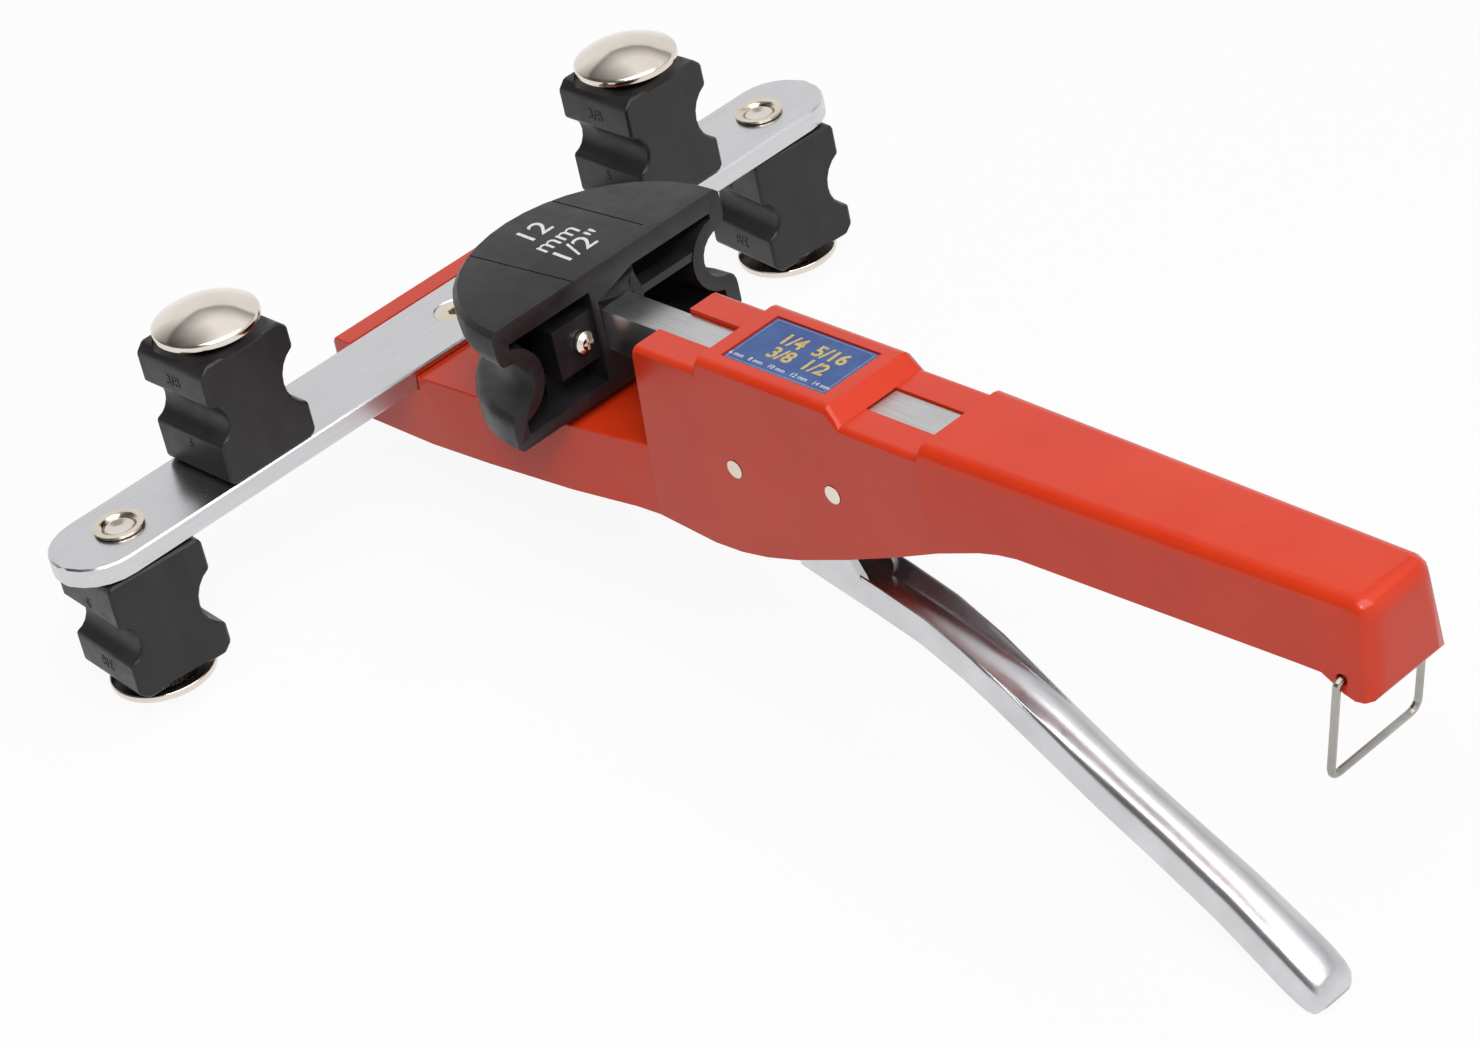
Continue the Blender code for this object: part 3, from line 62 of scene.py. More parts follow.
# The tool is drawn level, as its maker draws it, and then stands on the bench as the frame does.
STANCE_TILT = 0.20673663914203644
STANCE_X = -0.14598070085048676
STANCE_Z = 0.04859604313969612
STANCE = Matrix.Translation((STANCE_X, 0, STANCE_Z)) @ Matrix.Rotation(-STANCE_TILT, 4, "Y")

# Sizes that the finer pieces follow, in metres
CROSSBAR_THICKNESS = 0.0057
INNER_BOLT_Y = 0.0739
OUTER_BOLT_Y = 0.115
LOWER_BLOCK_TURN = math.radians(5)
BLOCK_SIDE = 0.0143
UPPER_BAND_HEIGHT = 0.0280
LOWER_BAND_HEIGHT = 0.0094
MARK_RELIEF = 0.00015
DOME_RADIUS = 0.014
DOME_RISE = 0.0042
DOME_RIM = 0.0018
DOME_BASE = 0.0374
DOME_EDGE = 0.0004
COLLAR_RADIUS = 0.009
COLLAR_BOTTOM = 0.0346
SHOULDER_RADIUS = 0.005
SHOULDER_BOTTOM = 0.0003
THREAD_RADIUS = 0.004
THREAD_END = -0.0058
RING_FACE = -0.0067
RING_BORE_LIMIT = 0.0046
RING_FLARE = 0.0011
THREAD_DISH = 0.0004
FORMER_TOP = 0.0359
PARTING_WIDTH = 0.0004
PARTING_DEPTH = 0.0003
INK = 0.00004
BADGE_TOP = 0.0284
BADGE_MIDDLE_X = 0.1378
BADGE_LENGTH = 0.0336
BADGE_WIDTH = 0.0184
BADGE_LINE = 0.00016
SIDE_START = 0.0935
SIDE_END = 0.1900
WELD = 0.000002
SAME_PLACE = 0.00004
GOLD_SWELL = 0.00016
WHITE_SWELL = 0.00003
PARTING_LINES = (
    ((0.0300, 0.0133), (0.0664, 0.0167)),
    ((0.0325, -0.0163), (0.0712, -0.0115)),
)
FLOOR_SIZE = 20

# Angles, counts and shares
SIDE_FACING = 0.9
FLAT_DEGREES = 0.5
SHARP_DEGREES = 30
NORMAL_WEIGHT = 60
EDGE_STEPS = 3
DOME_STEPS = 96
DISH_SHARE = 0.8
DISH_FLOOR_SHARE = 0.5
COAT_IOR = 1.46

# The camera, in the space of the level tool
CAMERA_LENS = 110.94
CAMERA_PLACE = (0.86903, -0.59278, 0.59244)
CAMERA_RIGHT = (0.68996, 0.69988, -0.1847)
CAMERA_AHEAD = (-0.66548, 0.51295, -0.54224)


def only(piece):
    """Selects one piece alone and makes it the active one."""
    bpy.ops.object.select_all(action="DESELECT")
    piece.select_set(True)
    bpy.context.view_layer.objects.active = piece


def apply_modifier(piece, kind, **settings):
    only(piece)
    modifier = piece.modifiers.new(kind.lower(), kind)
    for name, value in settings.items():
        setattr(modifier, name, value)
    bpy.ops.object.modifier_apply(modifier=modifier.name)


def edit(piece):
    only(piece)
    bpy.ops.object.mode_set(mode="EDIT")
    bpy.ops.mesh.select_mode(type="VERT")
    bpy.ops.mesh.select_all(action="SELECT")


def leave_edit():
    bpy.ops.object.mode_set(mode="OBJECT")


def smooth(piece, degrees=35):
    only(piece)
    bpy.ops.object.shade_smooth_by_angle(angle=math.radians(degrees))


def refined(node, name, edge=0.0004, limit=35):
    """A copy of a frame node, welded and with its edges rounded, that is shown in place of the node."""
    original = frame["nodes"][node]
    piece = bpy.data.objects.new(name, original.data.copy())
    bpy.context.scene.collection.objects.link(piece)
    edit(piece)
    bpy.ops.mesh.remove_doubles(threshold=WELD)
    bpy.ops.mesh.dissolve_limited(angle_limit=math.radians(FLAT_DEGREES))
    leave_edit()
    if edge:
        apply_modifier(
            piece, "BEVEL", width=edge, segments=EDGE_STEPS, limit_method="ANGLE",
            angle_limit=math.radians(limit), use_clamp_overlap=True, miter_outer="MITER_ARC",
        )
    smooth(piece, limit)
    apply_modifier(piece, "WEIGHTED_NORMAL", keep_sharp=True, weight=NORMAL_WEIGHT)
    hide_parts(node)
    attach(piece, original["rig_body"])
    return piece


def place(piece, matrix):
    """Moves a piece's mesh, and leaves its object at the origin."""
    only(piece)
    bpy.ops.object.transform_apply(location=True, rotation=True, scale=True)
    piece.data.transform(matrix)


def copy_at(piece, name, matrix):
    made = bpy.data.objects.new(name, piece.data.copy())
    bpy.context.scene.collection.objects.link(made)
    made.data.transform(matrix)
    return made


# Finishes


def linear(hex_colour):
    """An sRGB hex colour as linear numbers."""
    values = [int(hex_colour[i:i + 2], 16) / 255 for i in (0, 2, 4)]
    return (*[v / 12.92 if v <= 0.04045 else ((v + 0.055) / 1.055) ** 2.4 for v in values], 1)


def add(tree, kind, settings=None, links=None):
    """Adds a node. A setting is for an input, by name or number, or else for a property."""
    node = tree.nodes.new(kind)
    for key, value in (settings or {}).items():
        if isinstance(key, int) or key in node.inputs:
            node.inputs[key].default_value = value
        else:
            setattr(node, key, value)
    for key, source in (links or {}).items():
        tree.links.new(source, node.inputs[key])
    return node


def new_finish(name):
    """A material with its node tree, its shader and the surface's own place in the object."""
    made = bpy.data.materials.new(name)
    made.use_nodes = True
    tree = made.node_tree
    at = add(tree, "ShaderNodeTexCoord").outputs["Object"]
    return made, tree, tree.nodes["Principled BSDF"], at


# The middle of a noise's values, where most of the surface lies
SPREAD = {"From Min": 0.3, "From Max": 0.7}


def red_enamel():
    """Stoved enamel, sprayed on a zinc die-casting: full red, wet, with a faint orange peel."""
    made, tree, shader, at = new_finish("red_stoved_enamel")
    shader.inputs["IOR"].default_value = COAT_IOR
    # clouds about 35 mm across, where the coat lies thicker
    cloud = add(tree, "ShaderNodeTexNoise", {"Scale": 1 / (35 * MM), "Detail": 2}, {"Vector": at})
    thick = add(
        tree, "ShaderNodeMapRange", {"From Min": 0.35, "From Max": 0.65},
        {"Value": cloud.outputs["Fac"]},
    )
    red = add(
        tree, "ShaderNodeMix", {"data_type": "RGBA", 6: linear("DC3510"), 7: linear("E43D18")},
        {0: thick.outputs["Result"]},
    )
    tree.links.new(red.outputs[2], shader.inputs["Base Color"])
    # handling leaves the gloss uneven over a few millimetres
    handled = add(tree, "ShaderNodeTexNoise", {"Scale": 1 / (9 * MM), "Detail": 4}, {"Vector": at})
    rough = add(
        tree, "ShaderNodeMapRange", {**SPREAD, "To Min": 0.17, "To Max": 0.25},
        {"Value": handled.outputs["Fac"]},
    )
    tree.links.new(rough.outputs["Result"], shader.inputs["Roughness"])
    # orange peel, 2 to 3 mm across and a few micrometres high
    peel = add(tree, "ShaderNodeTexNoise", {"Scale": 1 / (2.6 * MM), "Detail": 0.5}, {"Vector": at})
    bump = add(
        tree, "ShaderNodeBump", {"Strength": 1.0, "Distance": 0.006 * MM},
        {"Height": peel.outputs["Fac"]},
    )
    tree.links.new(bump.outputs["Normal"], shader.inputs["Normal"])
    return made


def black_nylon(name, low, high, rough_low, rough_high):
    """Glass-filled nylon, moulded: near black, satin, with a fine grain and paler flow marks."""
    made, tree, shader, at = new_finish(name)
    shader.inputs["IOR"].default_value = COAT_IOR
    # flow marks about 12 mm long
    stretched = add(tree, "ShaderNodeMapping", {"Scale": (1, 1, 0.4)}, {"Vector": at})
    flow = add(
        tree, "ShaderNodeTexNoise", {"Scale": 1 / (7 * MM), "Detail": 5},
        {"Vector": stretched.outputs["Vector"]},
    )
    share = add(
        tree, "ShaderNodeMapRange", {"From Min": 0.35, "From Max": 0.7}, {"Value": flow.outputs["Fac"]},
    )
    black = add(
        tree, "ShaderNodeMix", {"data_type": "RGBA", 6: linear(low), 7: linear(high)},
        {0: share.outputs["Result"]},
    )
    tree.links.new(black.outputs[2], shader.inputs["Base Color"])
    scuffs = add(tree, "ShaderNodeTexNoise", {"Scale": 1 / (5 * MM), "Detail": 5}, {"Vector": at})
    rough = add(
        tree, "ShaderNodeMapRange", {**SPREAD, "To Min": rough_low, "To Max": rough_high},
        {"Value": scuffs.outputs["Fac"]},
    )
    tree.links.new(rough.outputs["Result"], shader.inputs["Roughness"])
    # the mould's spark-eroded grain, really 0.1 mm and drawn at 0.5 mm so that it shows
    grain = add(tree, "ShaderNodeTexNoise", {"Scale": 1 / (0.5 * MM), "Detail": 3}, {"Vector": at})
    bump = add(
        tree, "ShaderNodeBump", {"Strength": 1.0, "Distance": 0.012 * MM},
        {"Height": grain.outputs["Fac"]},
    )
    tree.links.new(bump.outputs["Normal"], shader.inputs["Normal"])
    return made


def drawn_steel(name, low, high, stretch, rough_low, rough_high, depth):
    """Steel bar with lines along its length, from rolling or grinding, under thin zinc or oil."""
    made, tree, shader, at = new_finish(name)
    shader.inputs["Metallic"].default_value = 1.0
    level = add(tree, "ShaderNodeMapping", {"Rotation": (0, STANCE_TILT, 0)}, {"Vector": at})
    along = add(tree, "ShaderNodeMapping", {"Scale": stretch}, {"Vector": level.outputs["Vector"]})
    # the lines are 0.05 mm apart, and drawn 0.6 mm wide so that they show
    lines = add(
        tree, "ShaderNodeTexNoise", {"Scale": 1 / (0.6 * MM), "Detail": 5},
        {"Vector": along.outputs["Vector"]},
    )
    share = add(tree, "ShaderNodeMapRange", SPREAD, {"Value": lines.outputs["Fac"]})
    grey = add(
        tree, "ShaderNodeMix", {"data_type": "RGBA", 6: linear(low), 7: linear(high)},
        {0: share.outputs["Result"]},
    )
    tree.links.new(grey.outputs[2], shader.inputs["Base Color"])
    # the plating dulls in patches about 12 mm across
    patches = add(tree, "ShaderNodeTexNoise", {"Scale": 1 / (12 * MM), "Detail": 4}, {"Vector": at})
    rough = add(
        tree, "ShaderNodeMapRange", {**SPREAD, "To Min": rough_low, "To Max": rough_high},
        {"Value": patches.outputs["Fac"]},
    )
    tree.links.new(rough.outputs["Result"], shader.inputs["Roughness"])
    bump = add(
        tree, "ShaderNodeBump", {"Strength": 1.0, "Distance": depth}, {"Height": lines.outputs["Fac"]},
    )
    tree.links.new(bump.outputs["Normal"], shader.inputs["Normal"])
    return made


def plated_metal(name, low, high, rough_low, rough_high, wave_size, wave):
    """Plated and polished metal: a mirror, or softer, with the slow waves that hand polishing leaves."""
    made, tree, shader, at = new_finish(name)
    shader.inputs["Metallic"].default_value = 1.0
    tone = add(tree, "ShaderNodeTexNoise", {"Scale": 1 / (12 * MM), "Detail": 3}, {"Vector": at})
    share = add(tree, "ShaderNodeMapRange", SPREAD, {"Value": tone.outputs["Fac"]})
    metal = add(
        tree, "ShaderNodeMix", {"data_type": "RGBA", 6: linear(low), 7: linear(high)},
        {0: share.outputs["Result"]},
    )
    tree.links.new(metal.outputs[2], shader.inputs["Base Color"])
    haze = add(tree, "ShaderNodeTexNoise", {"Scale": 1 / (4 * MM), "Detail": 4}, {"Vector": at})
    rough = add(
        tree, "ShaderNodeMapRange", {**SPREAD, "To Min": rough_low, "To Max": rough_high},
        {"Value": haze.outputs["Fac"]},
    )
    tree.links.new(rough.outputs["Result"], shader.inputs["Roughness"])
    waves = add(tree, "ShaderNodeTexNoise", {"Scale": 1 / wave_size, "Detail": 1}, {"Vector": at})
    bump = add(tree, "ShaderNodeBump", {"Strength": 1.0, "Distance": wave}, {"Height": waves.outputs["Fac"]})
    tree.links.new(bump.outputs["Normal"], shader.inputs["Normal"])
    return made


def blue_foil():
    """Printed aluminium foil under a clear lacquer: deep blue, a little cloudy, with a soft sheen."""
    made, tree, shader, at = new_finish("blue_printed_foil")
    cloud = add(tree, "ShaderNodeTexNoise", {"Scale": 1 / (8 * MM), "Detail": 5}, {"Vector": at})
    share = add(tree, "ShaderNodeMapRange", SPREAD, {"Value": cloud.outputs["Fac"]})
    blue = add(
        tree, "ShaderNodeMix", {"data_type": "RGBA", 6: linear("27498F"), 7: linear("3E639E")},
        {0: share.outputs["Result"]},
    )
    tree.links.new(blue.outputs[2], shader.inputs["Base Color"])
    # the lacquer's dust, in specks of half a millimetre
    dust = add(tree, "ShaderNodeTexNoise", {"Scale": 1 / (0.5 * MM), "Detail": 3}, {"Vector": at})
    rough = add(
        tree, "ShaderNodeMapRange", {**SPREAD, "To Min": 0.30, "To Max": 0.42},
        {"Value": dust.outputs["Fac"]},
    )
    tree.links.new(rough.outputs["Result"], shader.inputs["Roughness"])
    return made


def pad_ink(name, low, high):
    """Pad-printed ink: flat and dry, a little thinner in places."""
    made, tree, shader, at = new_finish(name)
    cover = add(tree, "ShaderNodeTexNoise", {"Scale": 1 / (0.6 * MM), "Detail": 4}, {"Vector": at})
    share = add(
        tree, "ShaderNodeMapRange", {"From Min": 0.3, "From Max": 0.55}, {"Value": cover.outputs["Fac"]},
    )
    ink = add(
        tree, "ShaderNodeMix", {"data_type": "RGBA", 6: linear(low), 7: linear(high)},
        {0: share.outputs["Result"]},
    )
    tree.links.new(ink.outputs[2], shader.inputs["Base Color"])
    rough = add(tree, "ShaderNodeMapRange", {"To Min": 0.62, "To Max": 0.5}, {"Value": cover.outputs["Fac"]})
    tree.links.new(rough.outputs["Result"], shader.inputs["Roughness"])
    return made


enamel = red_enamel()
nylon = black_nylon("black_moulded_nylon", "1D1B1E", "282629", 0.36, 0.48)
# a darker copy of the same nylon for the raised marks on the blocks: its colour is painted shade, standing
# for the shadows that make the figures read dark
shaded_mark_nylon = black_nylon("shade_painted_mark_nylon", "0F0E10", "161517", 0.30, 0.40)
bar_plate = drawn_steel("zinc_plated_flat_steel", "D0CFD2", "D8D7DA", (1, 0.03, 1), 0.25, 0.30, 0.0005 * MM)
rack_steel = drawn_steel("ground_steel_bar", "C4C3C4", "D6D5D5", (0.04, 1, 1), 0.26, 0.33, 0.0012 * MM)
dark_steel = drawn_steel("oiled_black_steel", "3A3938", "4A4947", (1, 0.04, 1), 0.38, 0.46, 0.003 * MM)
nickel = plated_metal("polished_nickel_plate", "DCD3C8", "E6DED4", 0.09, 0.15, 9 * MM, 0.012 * MM)
satin_nickel = plated_metal("barrel_nickel_plate", "D8CDBB", "E4DACA", 0.16, 0.24, 1.6 * MM, 0.010 * MM)
chrome = plated_metal("satin_chrome_plate", "C9C9CC", "D8D8DB", 0.27, 0.33, 8 * MM, 0.006 * MM)
wire_steel = plated_metal("galvanised_spring_wire", "9C9994", "B4B1AB", 0.24, 0.34, 1.5 * MM, 0.006 * MM)
foil = blue_foil()
pale_edge = pad_ink("pale_foil_edge", "8FA0BC", "A9B7CC")
white_ink = pad_ink("white_pad_ink", "D4D4D2", "F4F4F2")
gold_ink = pad_ink("gold_pad_ink", "B4964E", "DDC47E")


def dress(piece, material):
    piece.data.materials.clear()
    piece.data.materials.append(material)
    for polygon in piece.data.polygons:
        polygon.material_index = 0


# The body, the crossbar, the ratchet bar with its former, and the lever


def cut_groove(piece, start, end, top, width, depth):
    """Cuts a thin line into a level face of the tool, from one place to another."""
    start, end = Vector((*start, top)), Vector((*end, top))
    along = end - start
    bpy.ops.object.select_all(action="DESELECT")
    bpy.ops.mesh.primitive_cube_add(size=1, location=(start + end) / 2)
    cutter = bpy.context.active_object
    cutter.scale = (along.length, width, 2 * depth)
    cutter.rotation_euler = (0, 0, math.atan2(along.y, along.x))
    place(cutter, STANCE)
    apply_modifier(piece, "BOOLEAN", operation="DIFFERENCE", object=cutter, solver="EXACT")
    bpy.data.objects.remove(cutter)


def level_side(shell):
    """Gives each side of the body one shared normal between the ears and the handle.

    The casting has faint creases there. They stay in the mesh, and the light no longer shows them.
    """
    turned = STANCE.to_3x3()
    level = STANCE.inverted()
    mesh = shell.data
    normals = [Vector(corner.vector) for corner in mesh.corner_normals]
    for side in (-1, 1):
        faces = []
        for polygon in mesh.polygons:
            centre = level @ polygon.center
            facing = turned.inverted() @ polygon.normal
            outside = side * centre.y > BLOCK_SIDE
            if outside and SIDE_START < centre.x < SIDE_END and side * facing.y > SIDE_FACING:
                faces.append(polygon)
        plane = sum((face.normal * face.area for face in faces), Vector()).normalized()
        for face in faces:
            for corner in face.loop_indices:
                normals[corner] = plane
    mesh.normals_split_custom_set(normals)


body_shell = refined("body_casting", "body_shell", edge=0.0005)
level_side(body_shell)
dress(body_shell, enamel)
dress(refined("crossbar", "crossbar_bar", edge=0.0002, limit=SHARP_DEGREES), bar_plate)
dress(refined("ratchet_bar", "ratchet_bar_bar", edge=0.0002, limit=SHARP_DEGREES), rack_steel)
former = refined("bend_former", "former_moulding", edge=0.0004)
for line_start, line_end in PARTING_LINES:
    cut_groove(former, line_start, line_end, FORMER_TOP, PARTING_WIDTH, PARTING_DEPTH)
dress(former, nylon)
dress(refined("lever", "lever_pressing", edge=0.0005, limit=40), chrome)
for place_name in ("near_inner", "far_inner", "near_outer", "far_outer"):
    dress(refined(place_name + "_block", place_name + "_block_moulding", edge=0.0003), nylon)

# The blocks' dome-headed bolts


def step_in(radius, was, z):
    """Carries the selected face on as a ring, from one radius to another at one height."""
    bpy.ops.mesh.extrude_region_move(TRANSFORM_OT_translate={"value": (0, 0, 0)})
    share = radius / was
    bpy.ops.transform.resize(value=(share, share, 1), center_override=(0, 0, z))


def draw_down(drop):
    bpy.ops.mesh.extrude_region_move(TRANSFORM_OT_translate={"value": (0, 0, -drop)})


def dome_bolt():
    """A bolt with a dome head, upright at the origin on a block's foot, its dished end below."""
    sphere = (DOME_RADIUS**2 + DOME_RISE**2) / (2 * DOME_RISE)
    rim_top = DOME_BASE + DOME_RIM
    bpy.ops.object.select_all(action="DESELECT")
    bpy.ops.mesh.primitive_uv_sphere_add(
        segments=DOME_STEPS, ring_count=DOME_STEPS, radius=sphere,
        location=(0, 0, rim_top + DOME_RISE - sphere),
    )
    bolt = bpy.context.active_object
    bolt.name = "dome_bolt"
    place(bolt, Matrix.Identity(4))
    edit(bolt)
    bpy.ops.mesh.bisect(plane_co=(0, 0, rim_top), plane_no=(0, 0, 1), use_fill=True, clear_inner=True)
    draw_down(DOME_RIM)
    step_in(COLLAR_RADIUS, DOME_RADIUS, DOME_BASE)
    draw_down(DOME_BASE - COLLAR_BOTTOM)
    step_in(SHOULDER_RADIUS, COLLAR_RADIUS, COLLAR_BOTTOM)
    draw_down(COLLAR_BOTTOM - SHOULDER_BOTTOM)
    step_in(THREAD_RADIUS, SHOULDER_RADIUS, SHOULDER_BOTTOM)
    draw_down(SHOULDER_BOTTOM - THREAD_END)
    step_in(THREAD_RADIUS * DISH_SHARE, THREAD_RADIUS, THREAD_END)
    draw_down(-THREAD_DISH)
    bpy.ops.transform.resize(
        value=(DISH_FLOOR_SHARE, DISH_FLOOR_SHARE, 1), center_override=(0, 0, THREAD_END + THREAD_DISH),
    )
    bpy.ops.mesh.select_all(action="SELECT")
    bpy.ops.mesh.normals_make_consistent(inside=False)
    leave_edit()
    apply_modifier(
        bolt, "BEVEL", width=DOME_EDGE, segments=EDGE_STEPS, limit_method="ANGLE",
        angle_limit=math.radians(SHARP_DEGREES),
    )
    smooth(bolt, SHARP_DEGREES)
    return bolt


def bolt_place(y, under):
    spot = Matrix.Translation((0, y, -CROSSBAR_THICKNESS if under else 0))
    return STANCE @ (spot @ Matrix.Rotation(math.pi, 4, "Y") if under else spot)


def flare_ring(ring, spot):
    """Opens the mouth of a sleeve's bore into a cone, down to the thread's end."""
    level = spot.inverted()
    edit(ring)
    bpy.ops.mesh.select_mode(type="EDGE")
    bpy.ops.mesh.select_all(action="DESELECT")
    mesh = bmesh.from_edit_mesh(ring.data)
    for edge in mesh.edges:
        ends = [level @ vertex.co for vertex in edge.verts]
        if all(abs(end.z - RING_FACE) < SAME_PLACE and end.xy.length < RING_BORE_LIMIT for end in ends):
            edge.select_set(True)
    bmesh.update_edit_mesh(ring.data)
    bpy.ops.mesh.bevel(offset=RING_FLARE, segments=2)
    leave_edit()
    smooth(ring, SHARP_DEGREES)


bolt = dome_bolt()
bolt_places = {
    "near_inner": (-INNER_BOLT_Y, False), "far_inner": (INNER_BOLT_Y, False),
    "near_outer": (-OUTER_BOLT_Y, True), "far_outer": (OUTER_BOLT_Y, True),
}
for place_name, (y, under) in bolt_places.items():
    dome = copy_at(bolt, place_name + "_polished_bolt", bolt_place(y, under))
    dress(dome, nickel)
    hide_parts(place_name + "_dome_bolt")
    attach(dome, frame["nodes"][place_name + "_dome_bolt"]["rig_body"])
    ring = refined(place_name + "_sleeve_nut", place_name + "_sleeve_rim", edge=0)
    flare_ring(ring, bolt_place(y, under))
    dress(ring, satin_nickel)
bpy.data.objects.remove(bolt)

# Printed and moulded sizes


def lettered(name, words, size, matrix, material, body, relief=INK, thicken=0.0):
    """Words as a thin layer, centred on a matrix's origin and read along its X axis."""
    bpy.ops.object.select_all(action="DESELECT")
    bpy.ops.object.text_add()
    text = bpy.context.active_object
    text.data.body = words
    text.data.size = size
    text.data.align_x = "CENTER"
    text.data.align_y = "CENTER"
    text.data.offset = thicken
    text.data.extrude = relief
    bpy.ops.object.convert(target="MESH")
    text.name = name
    place(text, matrix)
    dress(text, material)
    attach(text, body)


def lying(x, y, z, turn=90):
    """A place on a level face of the tool. Words there read along Y, unless another turn is given."""
    return STANCE @ Matrix.Translation((x, y, z)) @ Matrix.Rotation(math.radians(turn), 4, "Z")


for name, words, size, x, y in (
    ("size_twelve", "12", 0.0098, 0.0428, 0.0002),
    ("size_unit", "mm", 0.0085, 0.0508, 0.0009),
    ("size_half_inch", '1/2"', 0.0098, 0.0590, 0.0012),
):
    lettered(name, words, size, lying(x, y, FORMER_TOP), white_ink, "bar", thicken=WHITE_SWELL)

upright = Matrix.Rotation(math.radians(90), 4, "X")
for place_name, (y, under) in bolt_places.items():
    turned = bolt_place(y, under)
    if under:
        turned = STANCE @ Matrix.Translation((0, y, -CROSSBAR_THICKNESS))
        turned = turned @ Matrix.Rotation(-LOWER_BLOCK_TURN, 4, "Z") @ Matrix.Rotation(math.pi, 4, "Y")
    bands = {"upper": ("3/8", 0.0045, UPPER_BAND_HEIGHT), "lower": ("5", 0.0042, LOWER_BAND_HEIGHT)}
    for band, (words, size, height) in bands.items():
        spot = turned @ Matrix.Translation((0, -BLOCK_SIDE, height)) @ upright
        body = frame["nodes"][place_name + "_block"]["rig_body"]
        # the raised marks take the darker nylon, whose colour is painted shade
        lettered(f"{place_name}_{band}_mark", words, size, spot, shaded_mark_nylon, body, MARK_RELIEF)


def badge_border():
    """A thin printed line round the badge's edge."""
    bpy.ops.object.select_all(action="DESELECT")
    bpy.ops.mesh.primitive_plane_add(size=1, location=(BADGE_MIDDLE_X, 0, BADGE_TOP))
    border = bpy.context.active_object
    border.name = "badge_border"
    border.scale = (BADGE_LENGTH, BADGE_WIDTH, 1)
    place(border, Matrix.Identity(4))
    edit(border)
    bpy.ops.mesh.select_mode(type="FACE")
    bpy.ops.mesh.inset(thickness=BADGE_LINE)
    bpy.ops.mesh.delete(type="FACE")
    bpy.ops.mesh.select_all(action="SELECT")
    bpy.ops.mesh.extrude_region_move(TRANSFORM_OT_translate={"value": (0, 0, INK)})
    bpy.ops.mesh.select_all(action="SELECT")
    bpy.ops.mesh.normals_make_consistent(inside=False)
    leave_edit()
    border.data.transform(STANCE)
    dress(border, pale_edge)
    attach(border, "body")


badge_border()
for name, words, size, x, y, ink, swell in (
    ("badge_upper_sizes", "1/4  5/16", 0.0062, 0.1392, 0.0034, gold_ink, GOLD_SWELL),
    ("badge_lower_sizes", "3/8  1/2", 0.0062, 0.1392, -0.0024, gold_ink, GOLD_SWELL),
    ("badge_unit", "6 mm   8 mm   10 mm   12 mm   14 mm", 0.0021, 0.1378, -0.0073, white_ink, 0.0),
):
    lettered(name, words, size, lying(x, y, BADGE_TOP, 0), ink, "body", thicken=swell)

dress(frame["nodes"]["badge_plate"], foil)
for name, material in {
    "crossbar_bolt": satin_nickel, "crossbar_nut": dark_steel, "former_screw": nickel,
    "hanging_hook": wire_steel, "lever_pivot_pin": satin_nickel, "holding_pawl_pin": satin_nickel,
    "drive_pawl_pin": dark_steel, "drive_pawl": dark_steel, "holding_pawl": dark_steel,
    "ratchet_bar_stop_pin": dark_steel, "near_lever_spacer": satin_nickel,
    "far_lever_spacer": satin_nickel, "lever_return_spring": wire_steel,
    "drive_pawl_spring": wire_steel, "holding_pawl_spring": wire_steel,
}.items():
    dress(frame["nodes"][name], material)
for name in ("hanging_hook", "lever_return_spring", "drive_pawl_spring", "holding_pawl_spring"):
    frame["nodes"][name].data.shade_smooth()

# Floor, light and camera


def paper_floor():
    """A pale floor that keeps a soft shadow and looks white to the camera and in the metal."""
    bpy.ops.object.select_all(action="DESELECT")
    bpy.ops.mesh.primitive_plane_add(size=FLOOR_SIZE)
    floor = bpy.context.active_object
    floor.name = "studio_floor"
    made = bpy.data.materials.new("white_paper_floor")
    made.use_nodes = True
    tree = made.node_tree
    tree.nodes.clear()
    ray = add(tree, "ShaderNodeLightPath")
    seen = add(
        tree, "ShaderNodeMath", {"operation": "MAXIMUM"},
        {0: ray.outputs["Is Camera Ray"], 1: ray.outputs["Is Glossy Ray"]},
    ).outputs["Value"]
    # white to the camera, and grey to the light that it throws back
    colour = add(
        tree, "ShaderNodeMix", {"data_type": "RGBA", 6: linear("B2B2B2"), 7: linear("F4F4F4")},
        {0: seen},
    )
    paper = add(tree, "ShaderNodeBsdfDiffuse", None, {"Color": colour.outputs[2]})
    white = add(tree, "ShaderNodeEmission", {"Color": (1, 1, 1, 1), "Strength": 1.0})
    share = add(tree, "ShaderNodeMath", {"operation": "MULTIPLY", 1: 0.92}, {0: seen})
    mix = add(
        tree, "ShaderNodeMixShader", None,
        {0: share.outputs["Value"], 1: paper.outputs["BSDF"], 2: white.outputs["Emission"]},
    )
    add(tree, "ShaderNodeOutputMaterial", None, {"Surface": mix.outputs["Shader"]})
    floor.data.materials.append(made)


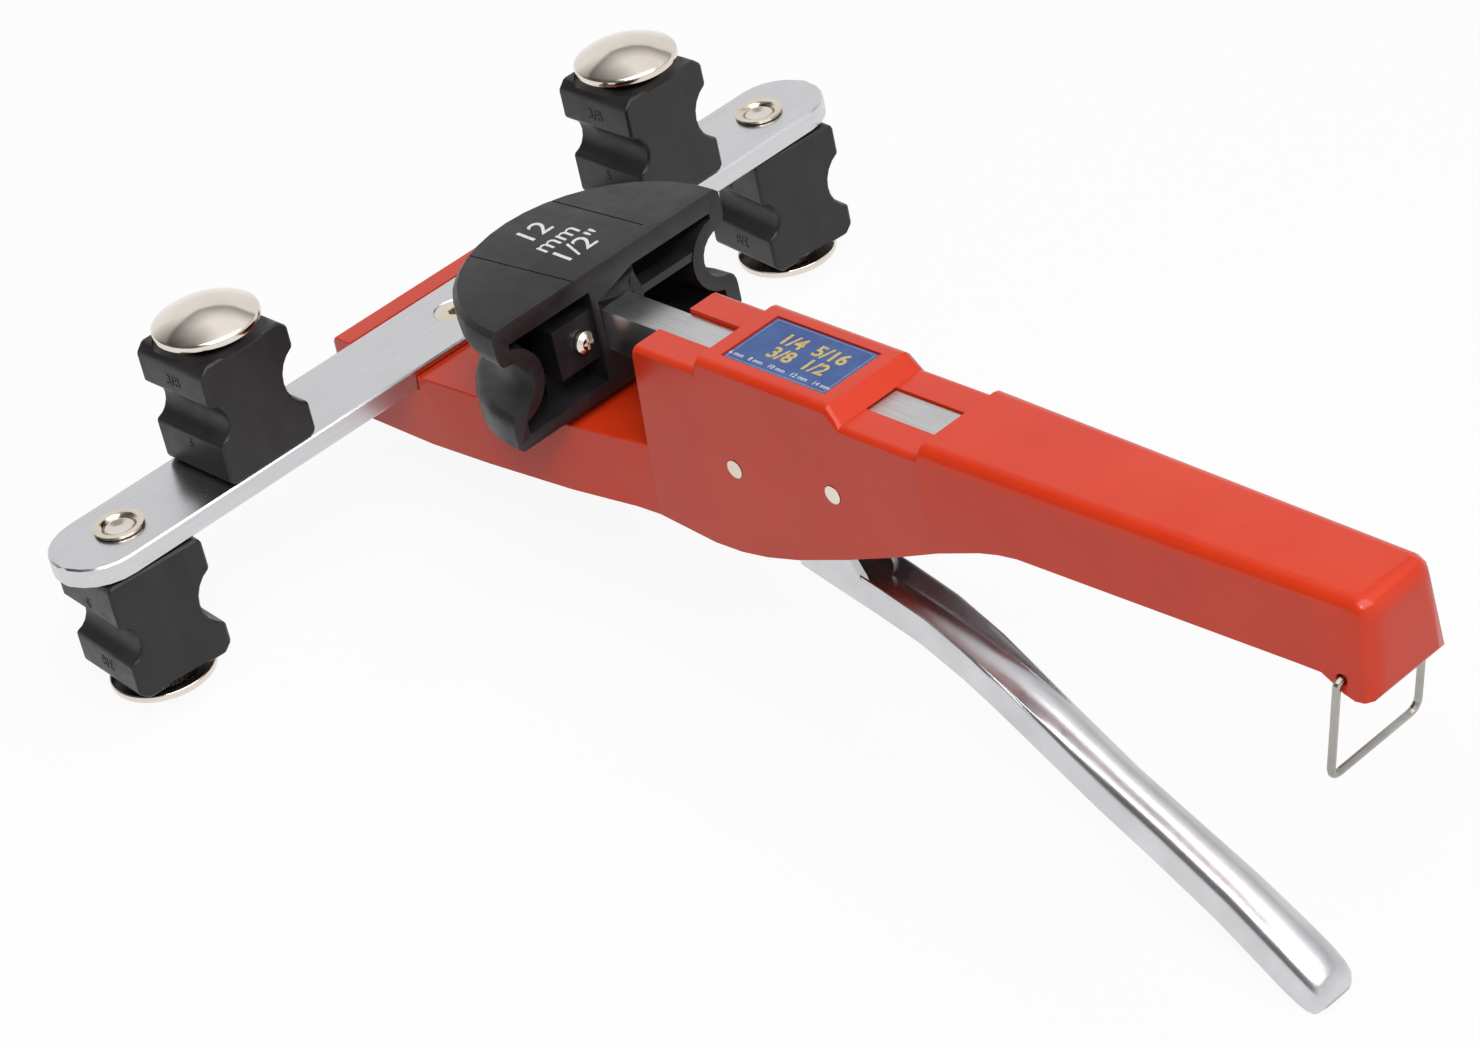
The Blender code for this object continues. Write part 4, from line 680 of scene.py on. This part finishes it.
def studio_surroundings():
    """White paper up to its top edge, a dim gap above it, a bright ceiling, and a dark camera side."""
    world = bpy.data.worlds.new("white_studio")
    bpy.context.scene.world = world
    world.use_nodes = True
    tree = world.node_tree
    background = tree.nodes["Background"]
    background.inputs["Color"].default_value = (1, 1, 1, 1)
    ray = add(tree, "ShaderNodeLightPath")
    towards = add(tree, "ShaderNodeTexCoord").outputs["Generated"]
    height = add(tree, "ShaderNodeSeparateXYZ", None, {"Vector": towards}).outputs["Z"]
    wander = add(tree, "ShaderNodeTexNoise", {"Scale": 2.2, "Detail": 1}, {"Vector": towards})
    shift = add(
        tree, "ShaderNodeMapRange", {"To Min": -0.10, "To Max": 0.10}, {"Value": wander.outputs["Fac"]},
    )
    level = add(tree, "ShaderNodeMath", {"operation": "ADD"}, {0: height, 1: shift.outputs["Result"]})
    steps = add(tree, "ShaderNodeValToRGB", None, {"Fac": level.outputs["Value"]})
    stops = steps.color_ramp.elements
    stops[0].position, stops[0].color = 0.50, (0.92, 0.92, 0.92, 1)
    stops[1].position, stops[1].color = 0.56, (0.34, 0.33, 0.32, 1)
    stops.new(0.80).color = (1, 1, 1, 1)
    front = add(
        tree, "ShaderNodeVectorMath", {"operation": "DOT_PRODUCT", 1: (-0.35, -0.85, 0.38)},
        {0: towards},
    )
    shade = add(
        tree, "ShaderNodeMapRange", {"From Min": 0.30, "From Max": 0.75, "To Min": 1.0, "To Max": 0.16},
        {"Value": front.outputs["Value"]},
    )
    mirrored = add(
        tree, "ShaderNodeMath", {"operation": "MULTIPLY"},
        {0: steps.outputs["Color"], 1: shade.outputs["Result"]},
    )
    plain = add(
        tree, "ShaderNodeMix", {"data_type": "FLOAT", 2: 0.26},
        {0: ray.outputs["Is Glossy Ray"], 3: mirrored.outputs["Value"]},
    )
    seen = add(
        tree, "ShaderNodeMath", {"operation": "MAXIMUM"},
        {0: plain.outputs[0], 1: ray.outputs["Is Camera Ray"]},
    )
    tree.links.new(seen.outputs["Value"], background.inputs["Strength"])


def softbox(name, place_of, target, width, height, watts):
    lamp = bpy.data.lights.new(name, "AREA")
    lamp.shape = "RECTANGLE"
    lamp.size, lamp.size_y = width, height
    lamp.energy = watts
    holder = bpy.data.objects.new(name, lamp)
    bpy.context.scene.collection.objects.link(holder)
    holder.location = place_of
    holder.rotation_euler = (Vector(target) - Vector(place_of)).to_track_quat("-Z", "Y").to_euler()


def camera():
    """The photograph's camera, fitted to marked corners of the level tool."""
    lens = bpy.data.cameras.new("photo_camera")
    lens.sensor_width = 36
    lens.lens = CAMERA_LENS
    lens.clip_end = 30
    eye = bpy.data.objects.new("photo_camera", lens)
    bpy.context.scene.collection.objects.link(eye)
    right = Vector(CAMERA_RIGHT).normalized()
    ahead = Vector(CAMERA_AHEAD).normalized()
    up = right.cross(ahead).normalized()
    right = ahead.cross(up).normalized()
    turn = Matrix((right, up, -ahead)).transposed().to_4x4()
    eye.matrix_world = STANCE @ Matrix.Translation(CAMERA_PLACE) @ turn
    bpy.context.scene.camera = eye


paper_floor()
studio_surroundings()
softbox("key_softbox", (0.45, -0.1, 1.5), (0, 0, 0), width=1.6, height=1.6, watts=18.5)
softbox("front_softbox", (0.45, -0.65, 1.2), (0, 0, 0), width=0.28, height=0.28, watts=3.0)
camera()
bpy.context.scene.view_settings.view_transform = "Standard"
